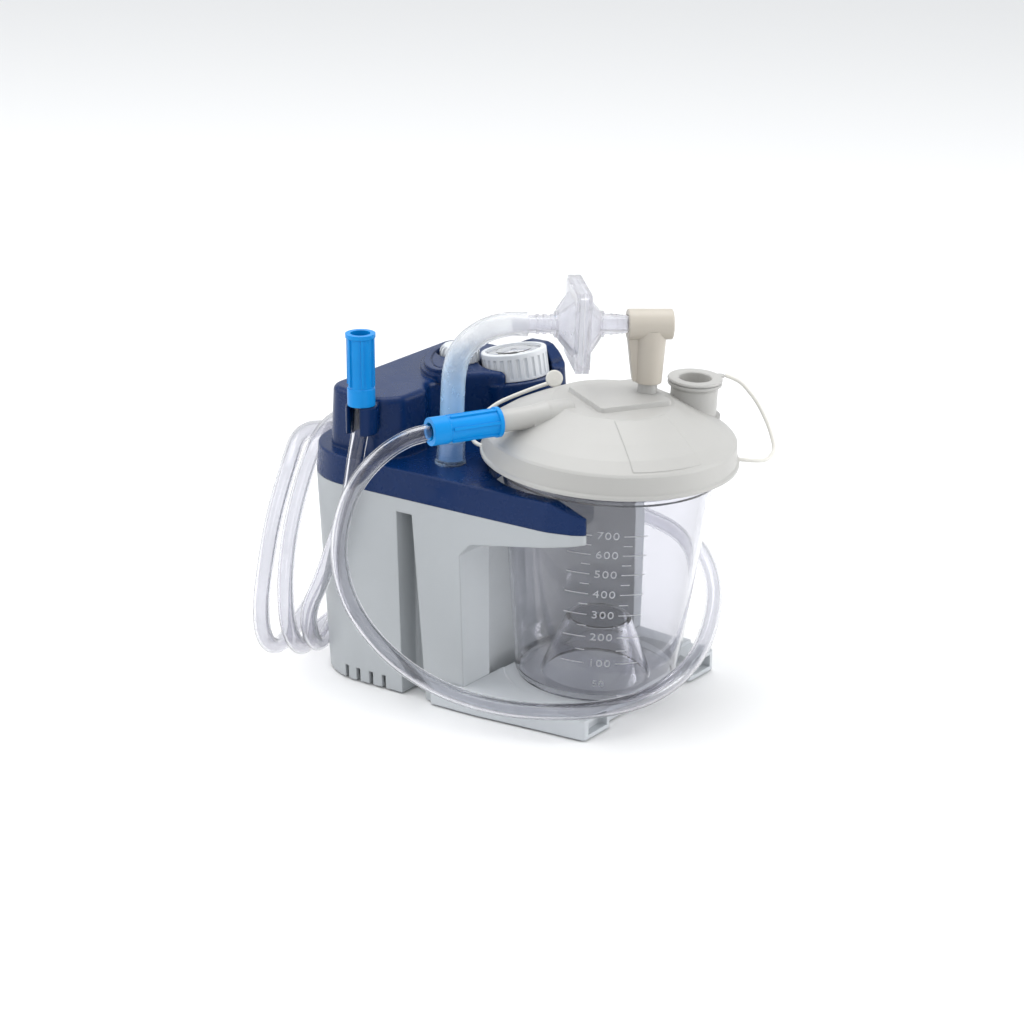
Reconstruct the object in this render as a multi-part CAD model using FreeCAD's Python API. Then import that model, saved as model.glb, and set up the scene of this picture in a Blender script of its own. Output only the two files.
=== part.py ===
import FreeCAD, Part
import math, os

# Portable suction pump (aspirator): grey housing with a navy cover, clear
# 800 ml collection canister in a front bay, bacteria filter line and patient
# tube. Millimetres, +Z up, front is -Y.
os.makedirs("parts", exist_ok=True)
V = FreeCAD.Vector

# ---------------------------------------------------------------- dimensions
HW_TOP, HW_BOT = 71.6, 67.0      # half width of the housing, top and bottom
Y_BACK_TOP, Y_BACK_BOT = 167.0, 163.5
R_CORNER = 40.0
Y_ARM = -28.0                    # arm tips
Y_BAY = 49.0                     # left side wall ends here, bay in front
Y_PIL = 21.5                     # right pillar stands further forward
Z0 = 1.2                         # underside of the housing above the table
Z_SPLIT = 117.0                  # grey / navy split line
Z_DECK = 133.0
Z_BLOCK = 167.0
WALL = 2.5
R_BAY = 62.6
Y_BAYC = 4.0
GAP = 0.3                        # running gap between separate bodies
TRAY_H = 15.0
LEAN = 3.6                       # canister stands leaning forward, degrees
PIV = V(0, 0, 139.5)
# canister, in its own upright frame about PIV
CAN_Z0, CAN_R0, CAN_RT, CAN_ZT = 12.0, 44.6, 57.6, 131.0
CAN_W = 1.8
RIM_R, RIM_Z0, RIM_Z1 = 61.8, 133.0, 135.6
PUNT_R0, PUNT_R1, PUNT_H = 28.8, 17.2, 33.5
LID_R, LID_Z0, LID_RS, LID_ZS = 70.2, 139.5, 68.3, 152.8
LID_RP, LID_ZP = 33.0, 171.4
PLAT_Z = 174.0
LID_ROT = -28.0                  # lid turned on the canister
PORT_X, SPOUT_X = 20.6, 50.0
PORT_TOP = 182.0
SPOUT_Z = 177.0
PP_Z, PP_R0, PP_R1 = 167.0, 40.0, 73.4      # patient port
BAR_Z = 211.8                    # filter line height
GA = V(39.5, 90.0, 159.0)        # gauge seat
G_TILT = -8.5
G_R = 18.6
KN = V(24.4, 118.8, 167.0)       # regulator knob
INLET = V(-45.0, 73.8, 133.0)
TUBE_D, HOSE_D, HOSE_ID = 9.4, 13.2, 9.4
ROTOR = V(0, 132.0, 42.0)        # motor axis runs along X

# ------------------------------------------------------------------- helpers
def box(x0, x1, y0, y1, z0, z1):
    return Part.makeBox(x1 - x0, y1 - y0, z1 - z0, V(x0, y0, z0))

def cyl(r, h, p, d=V(0, 0, 1)):
    return Part.makeCylinder(r, h, p, d)

def cone(r1, r2, h, p, d=V(0, 0, 1)):
    return Part.makeCone(r1, r2, h, p, d)

def rev(prof, c=V(0, 0, 0)):
    # closed (r, z) profile turned about a vertical axis through c
    pts = [V(c.x + r, c.y, c.z + z) for r, z in prof]
    f = Part.Face(Part.makePolygon(pts + [pts[0]]))
    return f.revolve(c, V(0, 0, 1), 360)

def rwire(pts, rad, z):
    # closed outline with rounded corners; rad is one value or one per point
    n = len(pts)
    if not isinstance(rad, (list, tuple)):
        rad = [rad] * n
    P = [V(p[0], p[1], z) for p in pts]
    a, b, mid = [], [], []
    for i in range(n):
        p, q, s = P[i], P[i - 1], P[(i + 1) % n]
        u = (q - p).normalize(); w = (s - p).normalize()
        ang = math.acos(max(-1, min(1, u.dot(w))))
        r = rad[i]
        if r <= 0 or abs(math.pi - ang) < 1e-3:
            a.append(p); b.append(p); mid.append(None); continue
        t = r / math.tan(ang / 2)
        t = min(t, 0.48 * (q - p).Length, 0.48 * (s - p).Length)
        r = t * math.tan(ang / 2)
        c = p + (u + w).normalize() * (r / math.sin(ang / 2))
        a.append(p + u * t); b.append(p + w * t)
        mid.append(c + (p - c).normalize() * r)
    E = []
    for i in range(n):
        if mid[i] is not None:
            E.append(Part.Arc(a[i], mid[i], b[i]).toShape())
        j = (i + 1) % n
        if (a[j] - b[i]).Length > 1e-6:
            E.append(Part.LineSegment(b[i], a[j]).toShape())
    return Part.Wire(E)

def prism(pts, rad, z0, z1):
    s = Part.Face(rwire(pts, rad, z0)).extrude(V(0, 0, z1 - z0))
    if s.Volume < 0:
        s.reverse()
    return s

def loft(w):
    s = Part.makeLoft(w, True, True)
    if s.Volume < 0:
        s.reverse()
    return s

def rot(s, c, ax, deg):
    t = s.copy(); t.rotate(c, ax, deg); return t

def lean(s):
    return rot(s, PIV, V(1, 0, 0), LEAN)

def lid_frame(s):
    return lean(rot(s, PIV, V(0, 0, 1), LID_ROT))

def gauge_frame(s):
    return rot(s, GA, V(1, 0, 0), G_TILT)

def fillet(s, r, pick):
    es = [e for e in s.Edges if pick(e)]
    if not es:
        return s
    try:
        t = s.makeFillet(r, es)
        if t.isValid() and t.Volume > 0:
            return t
    except Exception:
        pass
    print("fillet skipped", r, len(es))
    return s

def at_z(z, tol=0.05):
    return lambda e: all(abs(v.Z - z) < tol for v in e.Vertexes) and abs(e.BoundBox.ZMax - z) < tol and abs(e.BoundBox.ZMin - z) < tol

def route(P, d, name):
    # straight runs joined by tangent arcs, arc radius 0.45 of the shorter run
    # over the tangent of half the turn
    P = [V(*p) for p in P]
    E, last, L, rad = [], P[0], 0.0, []
    for i in range(1, len(P) - 1):
        a, b = P[i - 1] - P[i], P[i + 1] - P[i]
        la, lb = a.Length, b.Length
        if a.getAngle(b) > math.pi - 0.002:
            continue
        ua, ub = a * (1 / la), b * (1 / lb)
        turn = math.pi - math.acos(max(-1, min(1, ua.dot(ub))))
        t = 0.45 * min(la, lb)
        r = t / math.tan(turn / 2)
        rad.append(round(r, 1))
        s, e = P[i] + ua * t, P[i] + ub * t
        c = P[i] + (ua + ub).normalize() * (r / math.cos(turn / 2))
        m = c + (P[i] - c).normalize() * r
        E.append(Part.LineSegment(last, s).toShape()); L += (s - last).Length
        E.append(Part.Arc(s, m, e).toShape()); L += r * turn
        last = e
    E.append(Part.LineSegment(last, P[-1]).toShape()); L += (P[-1] - last).Length
    w = Part.Wire(E)
    n = (P[1] - P[0]).normalize()
    def sweep(dd):
        prof = Part.Wire([Part.Circle(P[0], n, dd / 2).toShape()])
        return w.makePipeShell([prof], True, False)
    s = sweep(d)
    print(name, "radii", rad)
    print(name, "length %.1f" % L, "min radius", min(rad), "volume ratio %.4f" % (s.Volume / (math.pi * d * d / 4 * L)))
    return s, sweep

N = {}

# ------------------------------------------------------------ lower housing
def outline(hw, yb, rc, yf, z, inset=0.0):
    hw -= inset; yb -= inset; rc -= inset
    return rwire([(-hw, yf), (-hw, yb), (hw, yb), (hw, yf)], [3, rc, rc, 3], z)

def hull(z0, z1, inset, yf):
    def f(z):
        k = (z - Z0) / (Z_SPLIT - Z0)
        return (HW_BOT + (HW_TOP - HW_BOT) * k, Y_BACK_BOT + (Y_BACK_TOP - Y_BACK_BOT) * k)
    a, b = f(z0), f(z1)
    return loft([outline(a[0], a[1], R_CORNER, yf, z0, inset), outline(b[0], b[1], R_CORNER, yf, z1, inset)])

def arms_plan(z0, z1, grow=0.0):
    # plan of the whole body with the narrow rounded arm tips
    pts = [(-HW_TOP, 40), (-HW_TOP, 200), (HW_TOP, 200), (HW_TOP, 40), (HW_TOP - 0.4, -8), (67.5, -22), (64, Y_ARM),
           (58.5, Y_ARM), (57, -20), (-57, -20), (-58.5, Y_ARM), (-64, Y_ARM), (-67.5, -22), (-(HW_TOP - 0.4), -8)]
    return prism(pts, [20, 0, 0, 20, 30, 9, 3.5, 2.5, 2, 2, 2.5, 3.5, 9, 30], z0, z1)

bay = cyl(R_BAY, 300, V(0, Y_BAYC, -10)).fuse(box(-R_BAY, R_BAY, -80, Y_BAYC, -10, 290))
bay_wall = cyl(R_BAY + WALL, 300, V(0, Y_BAYC, -10)).fuse(box(-R_BAY - WALL, R_BAY + WALL, -80, Y_BAYC, -10, 290))

# cut below the arms: underside rises towards the tips, rounded at the root
def under_cut():
    p = [V(-100, Y_BAY, -5), V(-100, Y_BAY, 92), V(-100, Y_BAY - 7, 99.5), V(-100, 20, 103.5), V(-100, -32, 112.5), V(-100, -90, 112.5), V(-100, -90, -5)]
    f = Part.Face(Part.makePolygon(p + [p[0]]))
    s = f.extrude(V(200, 0, 0))
    s = fillet(s, 7.0, lambda e: abs(e.BoundBox.XLength - 200) < 0.1 and abs(e.BoundBox.YMin - (Y_BAY - 7)) < 0.3 and e.BoundBox.YLength < 0.1)
    # the right pillar is left standing on the tray, hollow and open to the arm
    return s.cut(box(40, 110, Y_PIL, 60, TRAY_H + 0.3, 130))

def groove(g=0.0):
    out = None
    for s in (-1, 1):
        pts0 = [(s * 90, 75.0 - g), (s * 90, 91.5 + g), (s * (53.5 - g), 91.5 + g), (s * (53.5 - g), 75.0 - g)]
        pts1 = [(s * 90, 80.5 - g), (s * 90, 91.0 + g), (s * (55.0 - g), 91.0 + g), (s * (55.0 - g), 80.5 - g)]
        b = loft([rwire(pts0, [0, 0, 1.5, 1.5], -2), rwire(pts1, [0, 0, 1.5, 1.5], 109.0 + g)])
        out = b if out is None else out.fuse(b)
    return out

body = hull(Z0, Z_SPLIT, 0, Y_ARM).common(arms_plan(-5, 200))
body = body.cut(bay).cut(under_cut())
body = body.cut(groove())
cav = hull(Z0 + WALL, Z_SPLIT + 1, WALL, Y_BAY + WALL).cut(bay_wall).cut(groove(WALL))
body = body.cut(cav)
pil = hull(Z0 + WALL, Z_SPLIT - 4, WALL, Y_PIL + WALL).common(box(40, 100, Y_PIL, Y_BAY + WALL - 0.1, TRAY_H + 0.3 + WALL, Z_SPLIT - 4)).cut(bay_wall)
body = body.cut(pil)
SCREW_AT = [(-57.5, 111.6), (57.5, 111.6), (-59, 59), (59, 59)]
for x, y in SCREW_AT:
    big = y < 90
    p = cyl(6.5 if big else 5.3, Z_SPLIT - Z0, V(x, y, Z0)).fuse(box(min(x, 70 * (1 if x > 0 else -1)), max(x, 70 * (1 if x > 0 else -1)), y - 1.0, y + 1.0, Z0, Z_SPLIT)).common(hull(Z0, Z_SPLIT, 0.5, Y_BAY + 0.5))
    body = body.fuse(p).cut(cyl(4.2 if big else 3.9, 104 - Z0 + 5, V(x, y, Z0 - 5))).cut(cyl(1.9, 40, V(x, y, 90)))
# vent slots along the lower edge of both sides, open at the bottom
for s in (-1, 1):
    for y in (104.5, 113.5, 122.5, 131.0):
        body = body.cut(box(min(s * 50, s * 90), max(s * 50, s * 90), y - 1.3, y + 1.3, -2, 8.6))
# arched notch between vents and tray, and openings for switch and power inlet
body = body.cut(box(60, 80, 117.0, 139.0, 36.5, 59.5))
body = body.cut(cyl(5.6, 30, V(55, 100.5, 48), V(1, 0, 0)))
body = body.removeSplitter()
N["lower_housing"] = body

# rubber feet under the housing and the tray
feet = [(-52, 100), (52, 100), (-30, 152), (30, 152), (-58, 5), (58, 5)]
rf = None
for x, y in feet:
    f = cyl(5.0, Z0 - 0.02, V(x, y, 0.0))
    f = f.fuse(cyl(2.0, 0.02 + 1.2, V(x, y, Z0 - 0.02)))
    rf = f if rf is None else rf.fuse(f)
for x, y in feet[:4]:
    N["lower_housing"] = N["lower_housing"].cut(cyl(2.15, 1.9, V(x, y, Z0 - 0.5)))
N["rubber_feet"] = rf

# --------------------------------------------------------------- base tray
tp = [(-70.4, 71), (-70.0, 40), (-66.5, 0), (-64.5, -29), (-40, -29), (-37.5, -24), (37.5, -24), (40, -29), (64.5, -29), (66.5, 0), (70.0, 40), (70.4, 71)]
tray = prism(tp, [3, 30, 40, 2.5, 2.5, 3, 3, 2.5, 2.5, 40, 30, 3], Z0, TRAY_H)
tray = fillet(tray, 1.2, at_z(TRAY_H))
inner = hull(Z0 - 3, 40, -0.25, Y_BAY - 0.25).fuse(box(-80, 80, 76, 80, -3, 40))
tray = tray.cut(inner)
# front feet: lower than the tray floor, hollow towards the front
for s in (-1, 1):
    tray = tray.cut(box(min(s * 37, s * 70), max(s * 37, s * 70), -32, -13, 12.6, 20))
    tray = tray.cut(prism([(s * 43, -24), (s * 43, -40), (s * 60.5, -40), (s * 60.5, -24)], [2, 0, 0, 2], 3.6, 10.4))
# tilted seat for the canister and its flared lead-in
seat = lean(cone(50.5, 56.0, 4.2, V(0, 0, CAN_Z0 - 0.4)).fuse(cyl(56.0, 12.0, V(0, 0, CAN_Z0 + 3.7))))
tray = tray.cut(seat)
# underside hollow so the tray is a shell
hol = prism([(-66, 46.2), (-66, 10), (-60, -10), (-36, -12), (-34, -20), (34, -20), (36, -12), (60, -10), (66, 10), (66, 46.2)], 3, Z0 - 1, 8.2)
tray = tray.cut(hol.cut(cyl(6.5, 20, V(-58, 5, 0))).cut(cyl(6.5, 20, V(58, 5, 0))))
for x, y in feet[4:]:
    tray = tray.cut(cyl(2.15, 1.9, V(x, y, Z0 - 0.5)))
tray = tray.cut(N["lower_housing"])
N["base_tray"] = max(tray.removeSplitter().Solids, key=lambda q: q.Volume)

# --------------------------------------------------------------- top cover
def deck_outer():
    a = outline(HW_TOP, Y_BACK_TOP, R_CORNER, Y_ARM, Z_SPLIT + 0.02)
    b = outline(HW_TOP - 0.9, Y_BACK_TOP - 0.9, R_CORNER, Y_ARM, Z_DECK)
    s = loft([a, b]).common(arms_plan(100, 200))
    w = Part.Face(Part.makePolygon([V(-100, -10, Z_DECK), V(-100, -40, 121.5), V(-100, -40, 160), V(-100, -10, 160), V(-100, -10, Z_DECK)])).extrude(V(200, 0, 0))
    s = s.cut(bay).cut(w)
    return fillet(s, 1.0, lambda e: at_z(Z_DECK)(e) and e.BoundBox.YMax > Y_BACK_TOP - 40)

deck = deck_outer()
BLK = [(-57.5, 151.5), (-64.5, 109), (-52, 99), (-31, 99), (-21, 106), (0, 104), (13.5, 92), (15.5, 84), (46.0, 75.5), (67.0, 69.0), (64.5, 146), (54, 152.5)]
BLK_R = [13, 9, 9, 10, 9, 9, 6, 3, 5, 6, 12, 12]
def inset(pts, d):
    n = len(pts); c = (sum(p[0] for p in pts) / n, sum(p[1] for p in pts) / n); out = []
    area = sum(pts[i][0] * pts[(i + 1) % n][1] - pts[(i + 1) % n][0] * pts[i][1] for i in range(n))
    sg = 1 if area > 0 else -1
    for i in range(n):
        p, q, s = pts[i], pts[i - 1], pts[(i + 1) % n]
        u = (p[0] - q[0], p[1] - q[1]); w = (s[0] - p[0], s[1] - p[1])
        lu, lw = math.hypot(*u), math.hypot(*w)
        n1 = (-u[1] / lu * sg, u[0] / lu * sg); n2 = (-w[1] / lw * sg, w[0] / lw * sg)
        m = (n1[0] + n2[0], n1[1] + n2[1]); k = 1 + n1[0] * n2[0] + n1[1] * n2[1]
        out.append((p[0] + m[0] / k * d, p[1] + m[1] / k * d))
    return out
def blk(z0, z1, d0, d1, rr=0):
    return loft([rwire(inset(BLK, d0), [max(1, r - rr) for r in BLK_R], z0), rwire(inset(BLK, d1), [max(1, r - rr) for r in BLK_R], z1)])
block = blk(Z_DECK - 3, Z_BLOCK, -0.2, 1.3)
block = fillet(block, 3.2, at_z(Z_BLOCK))
cheek = Part.Face(Part.makePolygon([V(50, 69.4, 150), V(50, 69.4, 161.5), V(50, 72.5, 162.4), V(50, 76.0, 165.0), V(50, 79.5, 169.6), V(50, 83.0, 173.0), V(50, 86.5, 174.2),
                                    V(50, 97.0, 174.2), V(50, 101.0, 172.8), V(50, 104.5, 169.8), V(50, 107.5, 165.0), V(50, 107.5, 150), V(50, 69.4, 150)])).extrude(V(30, 0, 0))
cheek = cheek.common(blk(150, 176, 0.35, 1.3))
low = box(40, 80, 60, 76.0, 161.5, 180).common(Part.Face(Part.makePolygon([V(40, 60, 161.5), V(40, 69.4, 161.5), V(40, 72.5, 162.4), V(40, 76.0, 165.0), V(40, 76.0, 180), V(40, 60, 180), V(40, 60, 161.5)])).extrude(V(40, 0, 0)))
boss = cyl(25.0, 60, V(GA.x, GA.y, Z_DECK - 3)).cut(gauge_frame(box(-60, 140, 0, 200, GA.z, GA.z + 90)))
# raised crescent pad that hugs the knob
pad_c, pad_a = V(9.5, 119.5, 0), 33.0
def pad_plan(a, b, z0, z1):
    e = Part.Ellipse(V(0, 0, z0), a, b).toShape()
    s = Part.Face(Part.Wire([e])).extrude(V(0, 0, z1 - z0))
    s.rotate(V(0, 0, 0), V(0, 0, 1), pad_a); s.translate(V(pad_c.x, pad_c.y, 0)); return s
pad = pad_plan(27.0, 12.5, Z_BLOCK - 2, Z_BLOCK + 2.4).fuse(pad_plan(25.0, 10.5, Z_BLOCK, Z_BLOCK + 5.0))
pad = pad.cut(cyl(13.4, 40, V(KN.x, KN.y, Z_BLOCK - 1)))
pad = pad.cut(pad_plan(20.5, 6.6, Z_BLOCK + 4.4, Z_BLOCK + 9).cut(pad_plan(19.4, 5.5, Z_BLOCK + 4.0, Z_BLOCK + 9)))
notch = gauge_frame(cyl(20.4, 60, V(GA.x, GA.y, GA.z)))
cover = deck.fuse(block.cut(low)).fuse(cheek).fuse(pad).fuse(boss.cut(bay_wall)).cut(notch)
# hollow
ci = loft([outline(HW_TOP, Y_BACK_TOP, R_CORNER, Y_BAY + WALL, Z_SPLIT - 1, WALL), outline(HW_TOP - 0.9, Y_BACK_TOP - 0.9, R_CORNER, Y_BAY + WALL, Z_DECK - WALL, WALL)]).cut(bay_wall)
bi = blk(Z_DECK - 6, Z_BLOCK - WALL, WALL + 0.1, WALL + 1.2, 2)
well = gauge_frame(cyl(22.9, 60, V(GA.x, GA.y, GA.z - WALL)))
gi = cyl(22.4, 30, V(GA.x, GA.y, Z_DECK - 6)).cut(gauge_frame(box(-60, 140, 0, 200, GA.z - WALL, GA.z + 90))).cut(bay_wall)
cover = cover.cut(ci).cut(bi.cut(well)).cut(gi)
cover = cover.cut(gauge_frame(cyl(15.8, 20, V(GA.x, GA.y, GA.z - 10))))
cover = cover.cut(cyl(4.4, 20, V(KN.x, KN.y, Z_BLOCK - 10)))
cover = cover.cut(lean(cyl(5.2, 40, V(INLET.x, INLET.y, Z_DECK - 20))))
for x, y in SCREW_AT:
    e = 71.0 if x > 0 else -71.0
    p = cyl(4.6, Z_DECK - 2 - Z_SPLIT - 0.02, V(x, y, Z_SPLIT + 0.02)).fuse(box(min(x, e), max(x, e), y - 1.2, y + 1.2, Z_SPLIT + 0.02, Z_DECK - 2)).common(deck)
    cover = cover.fuse(p).cut(cyl(1.55, 12, V(x, y, Z_SPLIT - 1)))
N["upper_cover"] = cover.removeSplitter()

# clip for the free end of the tube, on the end of the raised block
CLIP = V(-71.8, 113.5, 150.0)
cl = cyl(8.6, 15.5, CLIP).cut(cyl(6.1, 20, V(CLIP.x, CLIP.y, CLIP.z - 1)))
cl = cl.cut(prism([(CLIP.x - 20, CLIP.y - 6.2), (CLIP.x - 3, CLIP.y - 3.8), (CLIP.x - 3, CLIP.y + 3.8), (CLIP.x - 20, CLIP.y + 6.2)], 0, 140, 180))
cl = cl.fuse(box(CLIP.x + 5.6, CLIP.x + 12, CLIP.y - 4.5, CLIP.y + 4.5, CLIP.z, CLIP.z + 15.5).cut(cyl(6.1, 20, V(CLIP.x, CLIP.y, CLIP.z - 1))))
cl = cl.cut(N["upper_cover"])
cl = max(cl.Solids, key=lambda s: s.Volume)
N["tube_clip"] = cl

# -------------------------------------------------------------------- gauge
def G(s):
    return gauge_frame(s)
gz = GA.z
ring = cyl(G_R, 15.6, V(GA.x, GA.y, gz + GAP)).cut(cyl(15.9, 40, V(GA.x, GA.y, gz - 5)))
ring = fillet(ring, 0.8, lambda e: e.BoundBox.ZMin > gz + 15 and e.BoundBox.XLength > 36)
for i in range(26):
    a = math.radians(360.0 / 26 * i)
    ring = ring.cut(cyl(1.15, 11.2, V(GA.x + (G_R + 0.35) * math.cos(a), GA.y + (G_R + 0.35) * math.sin(a), gz + 1.6)))
N["gauge_bezel"] = G(ring)
N["gauge_case"] = G(cyl(15.5, 24.2, V(GA.x, GA.y, gz - 14)).cut(cyl(14.3, 30, V(GA.x, GA.y, gz - 12.5))).fuse(cyl(4.5, 8, V(GA.x, GA.y, gz - 22))).cut(cyl(1.8, 20, V(GA.x, GA.y, gz - 23))).fuse(cyl(14.3, 1.2, V(GA.x, GA.y, gz + 2)).cut(cyl(0.97, 9, V(GA.x, GA.y, gz)))))
N["gauge_dial"] = G(cyl(15.2, 0.8, V(GA.x, GA.y, gz + 10.4)).cut(cyl(1.3, 5, V(GA.x, GA.y, gz + 8))))
N["gauge_lens"] = G(rev([(0, 15.9), (10, 15.6), (15.7, 14.6), (15.7, 13.4), (10.0, 14.4), (0, 14.7)], V(GA.x, GA.y, gz)))
nd = cyl(1.9, 1.2, V(GA.x, GA.y, gz + 11.7)).fuse(cyl(0.9, 13.0, V(GA.x, GA.y, gz - 1.0)))
nd = nd.fuse(prism([(GA.x - 0.75, GA.y - 4), (GA.x + 0.75, GA.y - 4), (GA.x + 0.3, GA.y + 11.2), (GA.x - 0.3, GA.y + 11.2)], 0, gz + 12.0, gz + 12.6))
N["gauge_needle"] = G(nd)

# ---------------------------------------------------- regulator and its knob
kz = Z_BLOCK + GAP
kn = rev([(0, 0), (11.3, 0), (11.3, 5.6), (10.7, 7.4), (8.9, 8.9), (5.6, 9.9), (0, 10.3)], V(KN.x, KN.y, kz))
for i in range(20):
    a = math.radians(18.0 * i)
    kn = kn.cut(Part.makeCylinder(1.1, 12, V(KN.x + 11.65 * math.cos(a), KN.y + 11.65 * math.sin(a), kz - 1), V(-0.18 * math.cos(a), -0.18 * math.sin(a), 1)))
kn = kn.cut(cyl(2.9, 6.5, V(KN.x, KN.y, kz - 1)))
N["regulator_knob"] = kn
N["regulator_stem"] = cyl(2.9, 27.5, V(KN.x, KN.y, kz + 5.5 - 27.5)).fuse(cone(0.6, 2.9, 5, V(KN.x, KN.y, kz - 27)))
rv = cyl(7.0, 20, V(KN.x, KN.y, 136)).cut(cyl(3.3, 12, V(KN.x, KN.y, 144.5))).cut(cone(0.9, 3.3, 6, V(KN.x, KN.y, 138.7)))
rv = rv.fuse(cyl(3.2, 16, V(KN.x - 21, KN.y, 141), V(1, 0, 0))).cut(cyl(1.5, 22, V(KN.x - 22, KN.y, 141), V(1, 0, 0)))
rv = rv.fuse(cyl(6.0, 8.6, V(KN.x, KN.y, 155.8)).cut(cyl(2.97, 12, V(KN.x, KN.y, 154))))
N["regulator_valve"] = rv

# -------------------------------------------------------------- vacuum inlet
I = INLET
ib = rev([(2.6, 0.1), (8.6, 0.1), (8.6, 1.2), (7.9, 1.4), (7.7, 13.2), (6.9, 13.2), (6.85, 2.4), (4.9, 2.4), (4.9, 14), (4.1, 15.5), (4.1, 17), (2.6, 17)], V(I.x, I.y, Z_DECK))
ib = ib.fuse(cyl(4.9, 14, V(I.x, I.y, Z_DECK - 13.9))).fuse(rev([(2.6, -26), (3.6, -26), (4.2, -20), (3.4, -20), (3.4, -13.9), (2.6, -13.9)], V(I.x, I.y, Z_DECK))).cut(cyl(2.6, 60, V(I.x, I.y, Z_DECK - 30)))
N["inlet_barb"] = rot(ib, I, V(1, 0, 0), LEAN).cut(N["upper_cover"])
N["inlet_barb"] = max(N["inlet_barb"].Solids, key=lambda s: s.Volume)

# ------------------------------------------------- right side: switch, inlet
SX = 69.6
fr = box(SX - 8, SX + 1.6, 117.2, 138.8, 36.7, 59.3).cut(box(SX - 10, SX + 5, 119.2, 136.8, 38.7, 57.3))
fr = fr.fuse(box(SX + 0.6, SX + 1.6, 115.6, 140.4, 35.1, 60.9).cut(box(SX - 10, SX + 5, 119.2, 136.8, 38.7, 57.3))).cut(N["lower_housing"])
fr = fr.fuse(box(SX - 16, SX - 8, 117.2, 138.8, 36.7, 59.3))
fr = fr.cut(cyl(1.5, 22.4, V(SX - 1.0, 116.8, 48), V(0, 1, 0)))
N["switch_frame"] = max(fr.Solids, key=lambda s: s.Volume)
rkf = Part.Face(Part.makePolygon([V(SX - 3.0, 119.7, 40.2), V(SX + 1.2, 119.7, 39.4), V(SX + 2.0, 119.7, 48), V(SX + 3.8, 119.7, 55.6), V(SX - 1.6, 119.7, 55.8), V(SX - 3.4, 119.7, 48), V(SX - 3.0, 119.7, 40.2)]))
N["switch_rocker"] = rkf.extrude(V(0, 16.6, 0)).fuse(cyl(1.2, 20.4, V(SX - 1.0, 117.8, 48), V(0, 1, 0)))
dc = cyl(5.5, 14, V(SX - 13, 100.5, 48), V(1, 0, 0)).fuse(cyl(7.4, 1.6, V(SX + 0.1, 100.5, 48), V(1, 0, 0)))
dc = dc.cut(cyl(2.8, 11, V(SX - 9, 100.5, 48), V(1, 0, 0))).fuse(cyl(1.0, 9.2, V(SX - 9.5, 100.5, 48), V(1, 0, 0)))
N["power_inlet"] = max(dc.cut(N["lower_housing"]).Solids, key=lambda s: s.Volume)

# ---------------------------------------------------------- motor and pump
R = ROTOR
N["motor_can"] = cyl(19.5, 58, V(-50, R.y, R.z), V(1, 0, 0)).cut(cyl(18.0, 54, V(-48, R.y, R.z), V(1, 0, 0))).cut(cyl(2.08, 90, V(-60, R.y, R.z), V(1, 0, 0)))
sh = cyl(2.0, 96, V(-60, R.y, R.z), V(1, 0, 0)).fuse(cyl(14.5, 38, V(-41, R.y, R.z), V(1, 0, 0)))
N["motor_shaft"] = sh
fan = cyl(4.5, 6, V(-59.2, R.y, R.z), V(1, 0, 0))
for i in range(7):
    b = box(-58.8, -54.0, R.y - 0.6, R.y + 0.6, R.z + 3.5, R.z + 12.6)
    b.rotate(V(-56, R.y, R.z), V(0, 0, 1), 24)
    b.rotate(V(-56, R.y, R.z), V(1, 0, 0), i * 360 / 7)
    fan = fan.fuse(b)
N["cooling_fan"] = fan.cut(cyl(2.0, 20, V(-65, R.y, R.z), V(1, 0, 0)))
ecc = cyl(6.0, 9.3, V(23.5, R.y, R.z + 2.5), V(1, 0, 0)).fuse(cyl(9, 4, V(19.5, R.y, R.z - 3.5), V(1, 0, 0))).cut(cyl(2.0, 40, V(10, R.y, R.z), V(1, 0, 0)))
N["eccentric"] = ecc
N["crank_bearing"] = cyl(8.0, 5, V(26, R.y, R.z + 2.5), V(1, 0, 0)).cut(cyl(6.0, 9, V(24, R.y, R.z + 2.5), V(1, 0, 0)))
cc = box(9.0, 44, R.y - 20, R.y + 20, R.z - 20, R.z + 21).cut(cyl(16.5, 22.6, V(16.4, R.y, R.z), V(1, 0, 0))).cut(cyl(3.4, 80, V(0, R.y, R.z), V(1, 0, 0)))
cc = cc.cut(cyl(15.0, 12, V(28.5, R.y, R.z + 14)))
N["pump_crankcase"] = cc
cr = cyl(12.4, 5, V(26, R.y, R.z), V(1, 0, 0)).cut(cyl(10.9, 9, V(24, R.y, R.z), V(1, 0, 0))).fuse(box(26, 31, R.y - 3.5, R.y + 3.5, R.z + 11.6, R.z + 27.5))
N["connecting_rod"] = cr
N["pump_piston"] = cyl(12.6, 4.0, V(28.5, R.y, R.z + 27.5)).fuse(cone(12.6, 13.2, 1.2, V(28.5, R.y, R.z + 31.5)))
N["pump_cylinder"] = cyl(16.5, 18, V(28.5, R.y, R.z + 21)).cut(cyl(13.4, 20, V(28.5, R.y, R.z + 20)))
vp = box(10.5, 46.5, R.y - 18, R.y + 18, R.z + 39, R.z + 42)
for dx in (-6, 6):
    vp = vp.cut(cyl(1.6, 6, V(28.5 + dx, R.y, R.z + 38)))
N["valve_plate"] = vp
hd = fillet(box(10.5, 46.5, R.y - 18, R.y + 18, R.z + 42, R.z + 54), 2.5, at_z(R.z + 54))
hd = hd.cut(box(14, 26.8, R.y - 14, R.y + 14, R.z + 41.5, R.z + 50.5)).cut(box(30.2, 43, R.y - 14, R.y + 14, R.z + 41.5, R.z + 50.5))
for dx, sx in ((20.4, -1), (36.6, 1)):
    hd = hd.fuse(cyl(3.3, 12, V(dx, R.y - 18, R.z + 47), V(0, -1, 0))).cut(cyl(1.8, 25, V(dx, R.y - 7, R.z + 47), V(0, -1, 0)))
N["pump_head"] = hd
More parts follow.
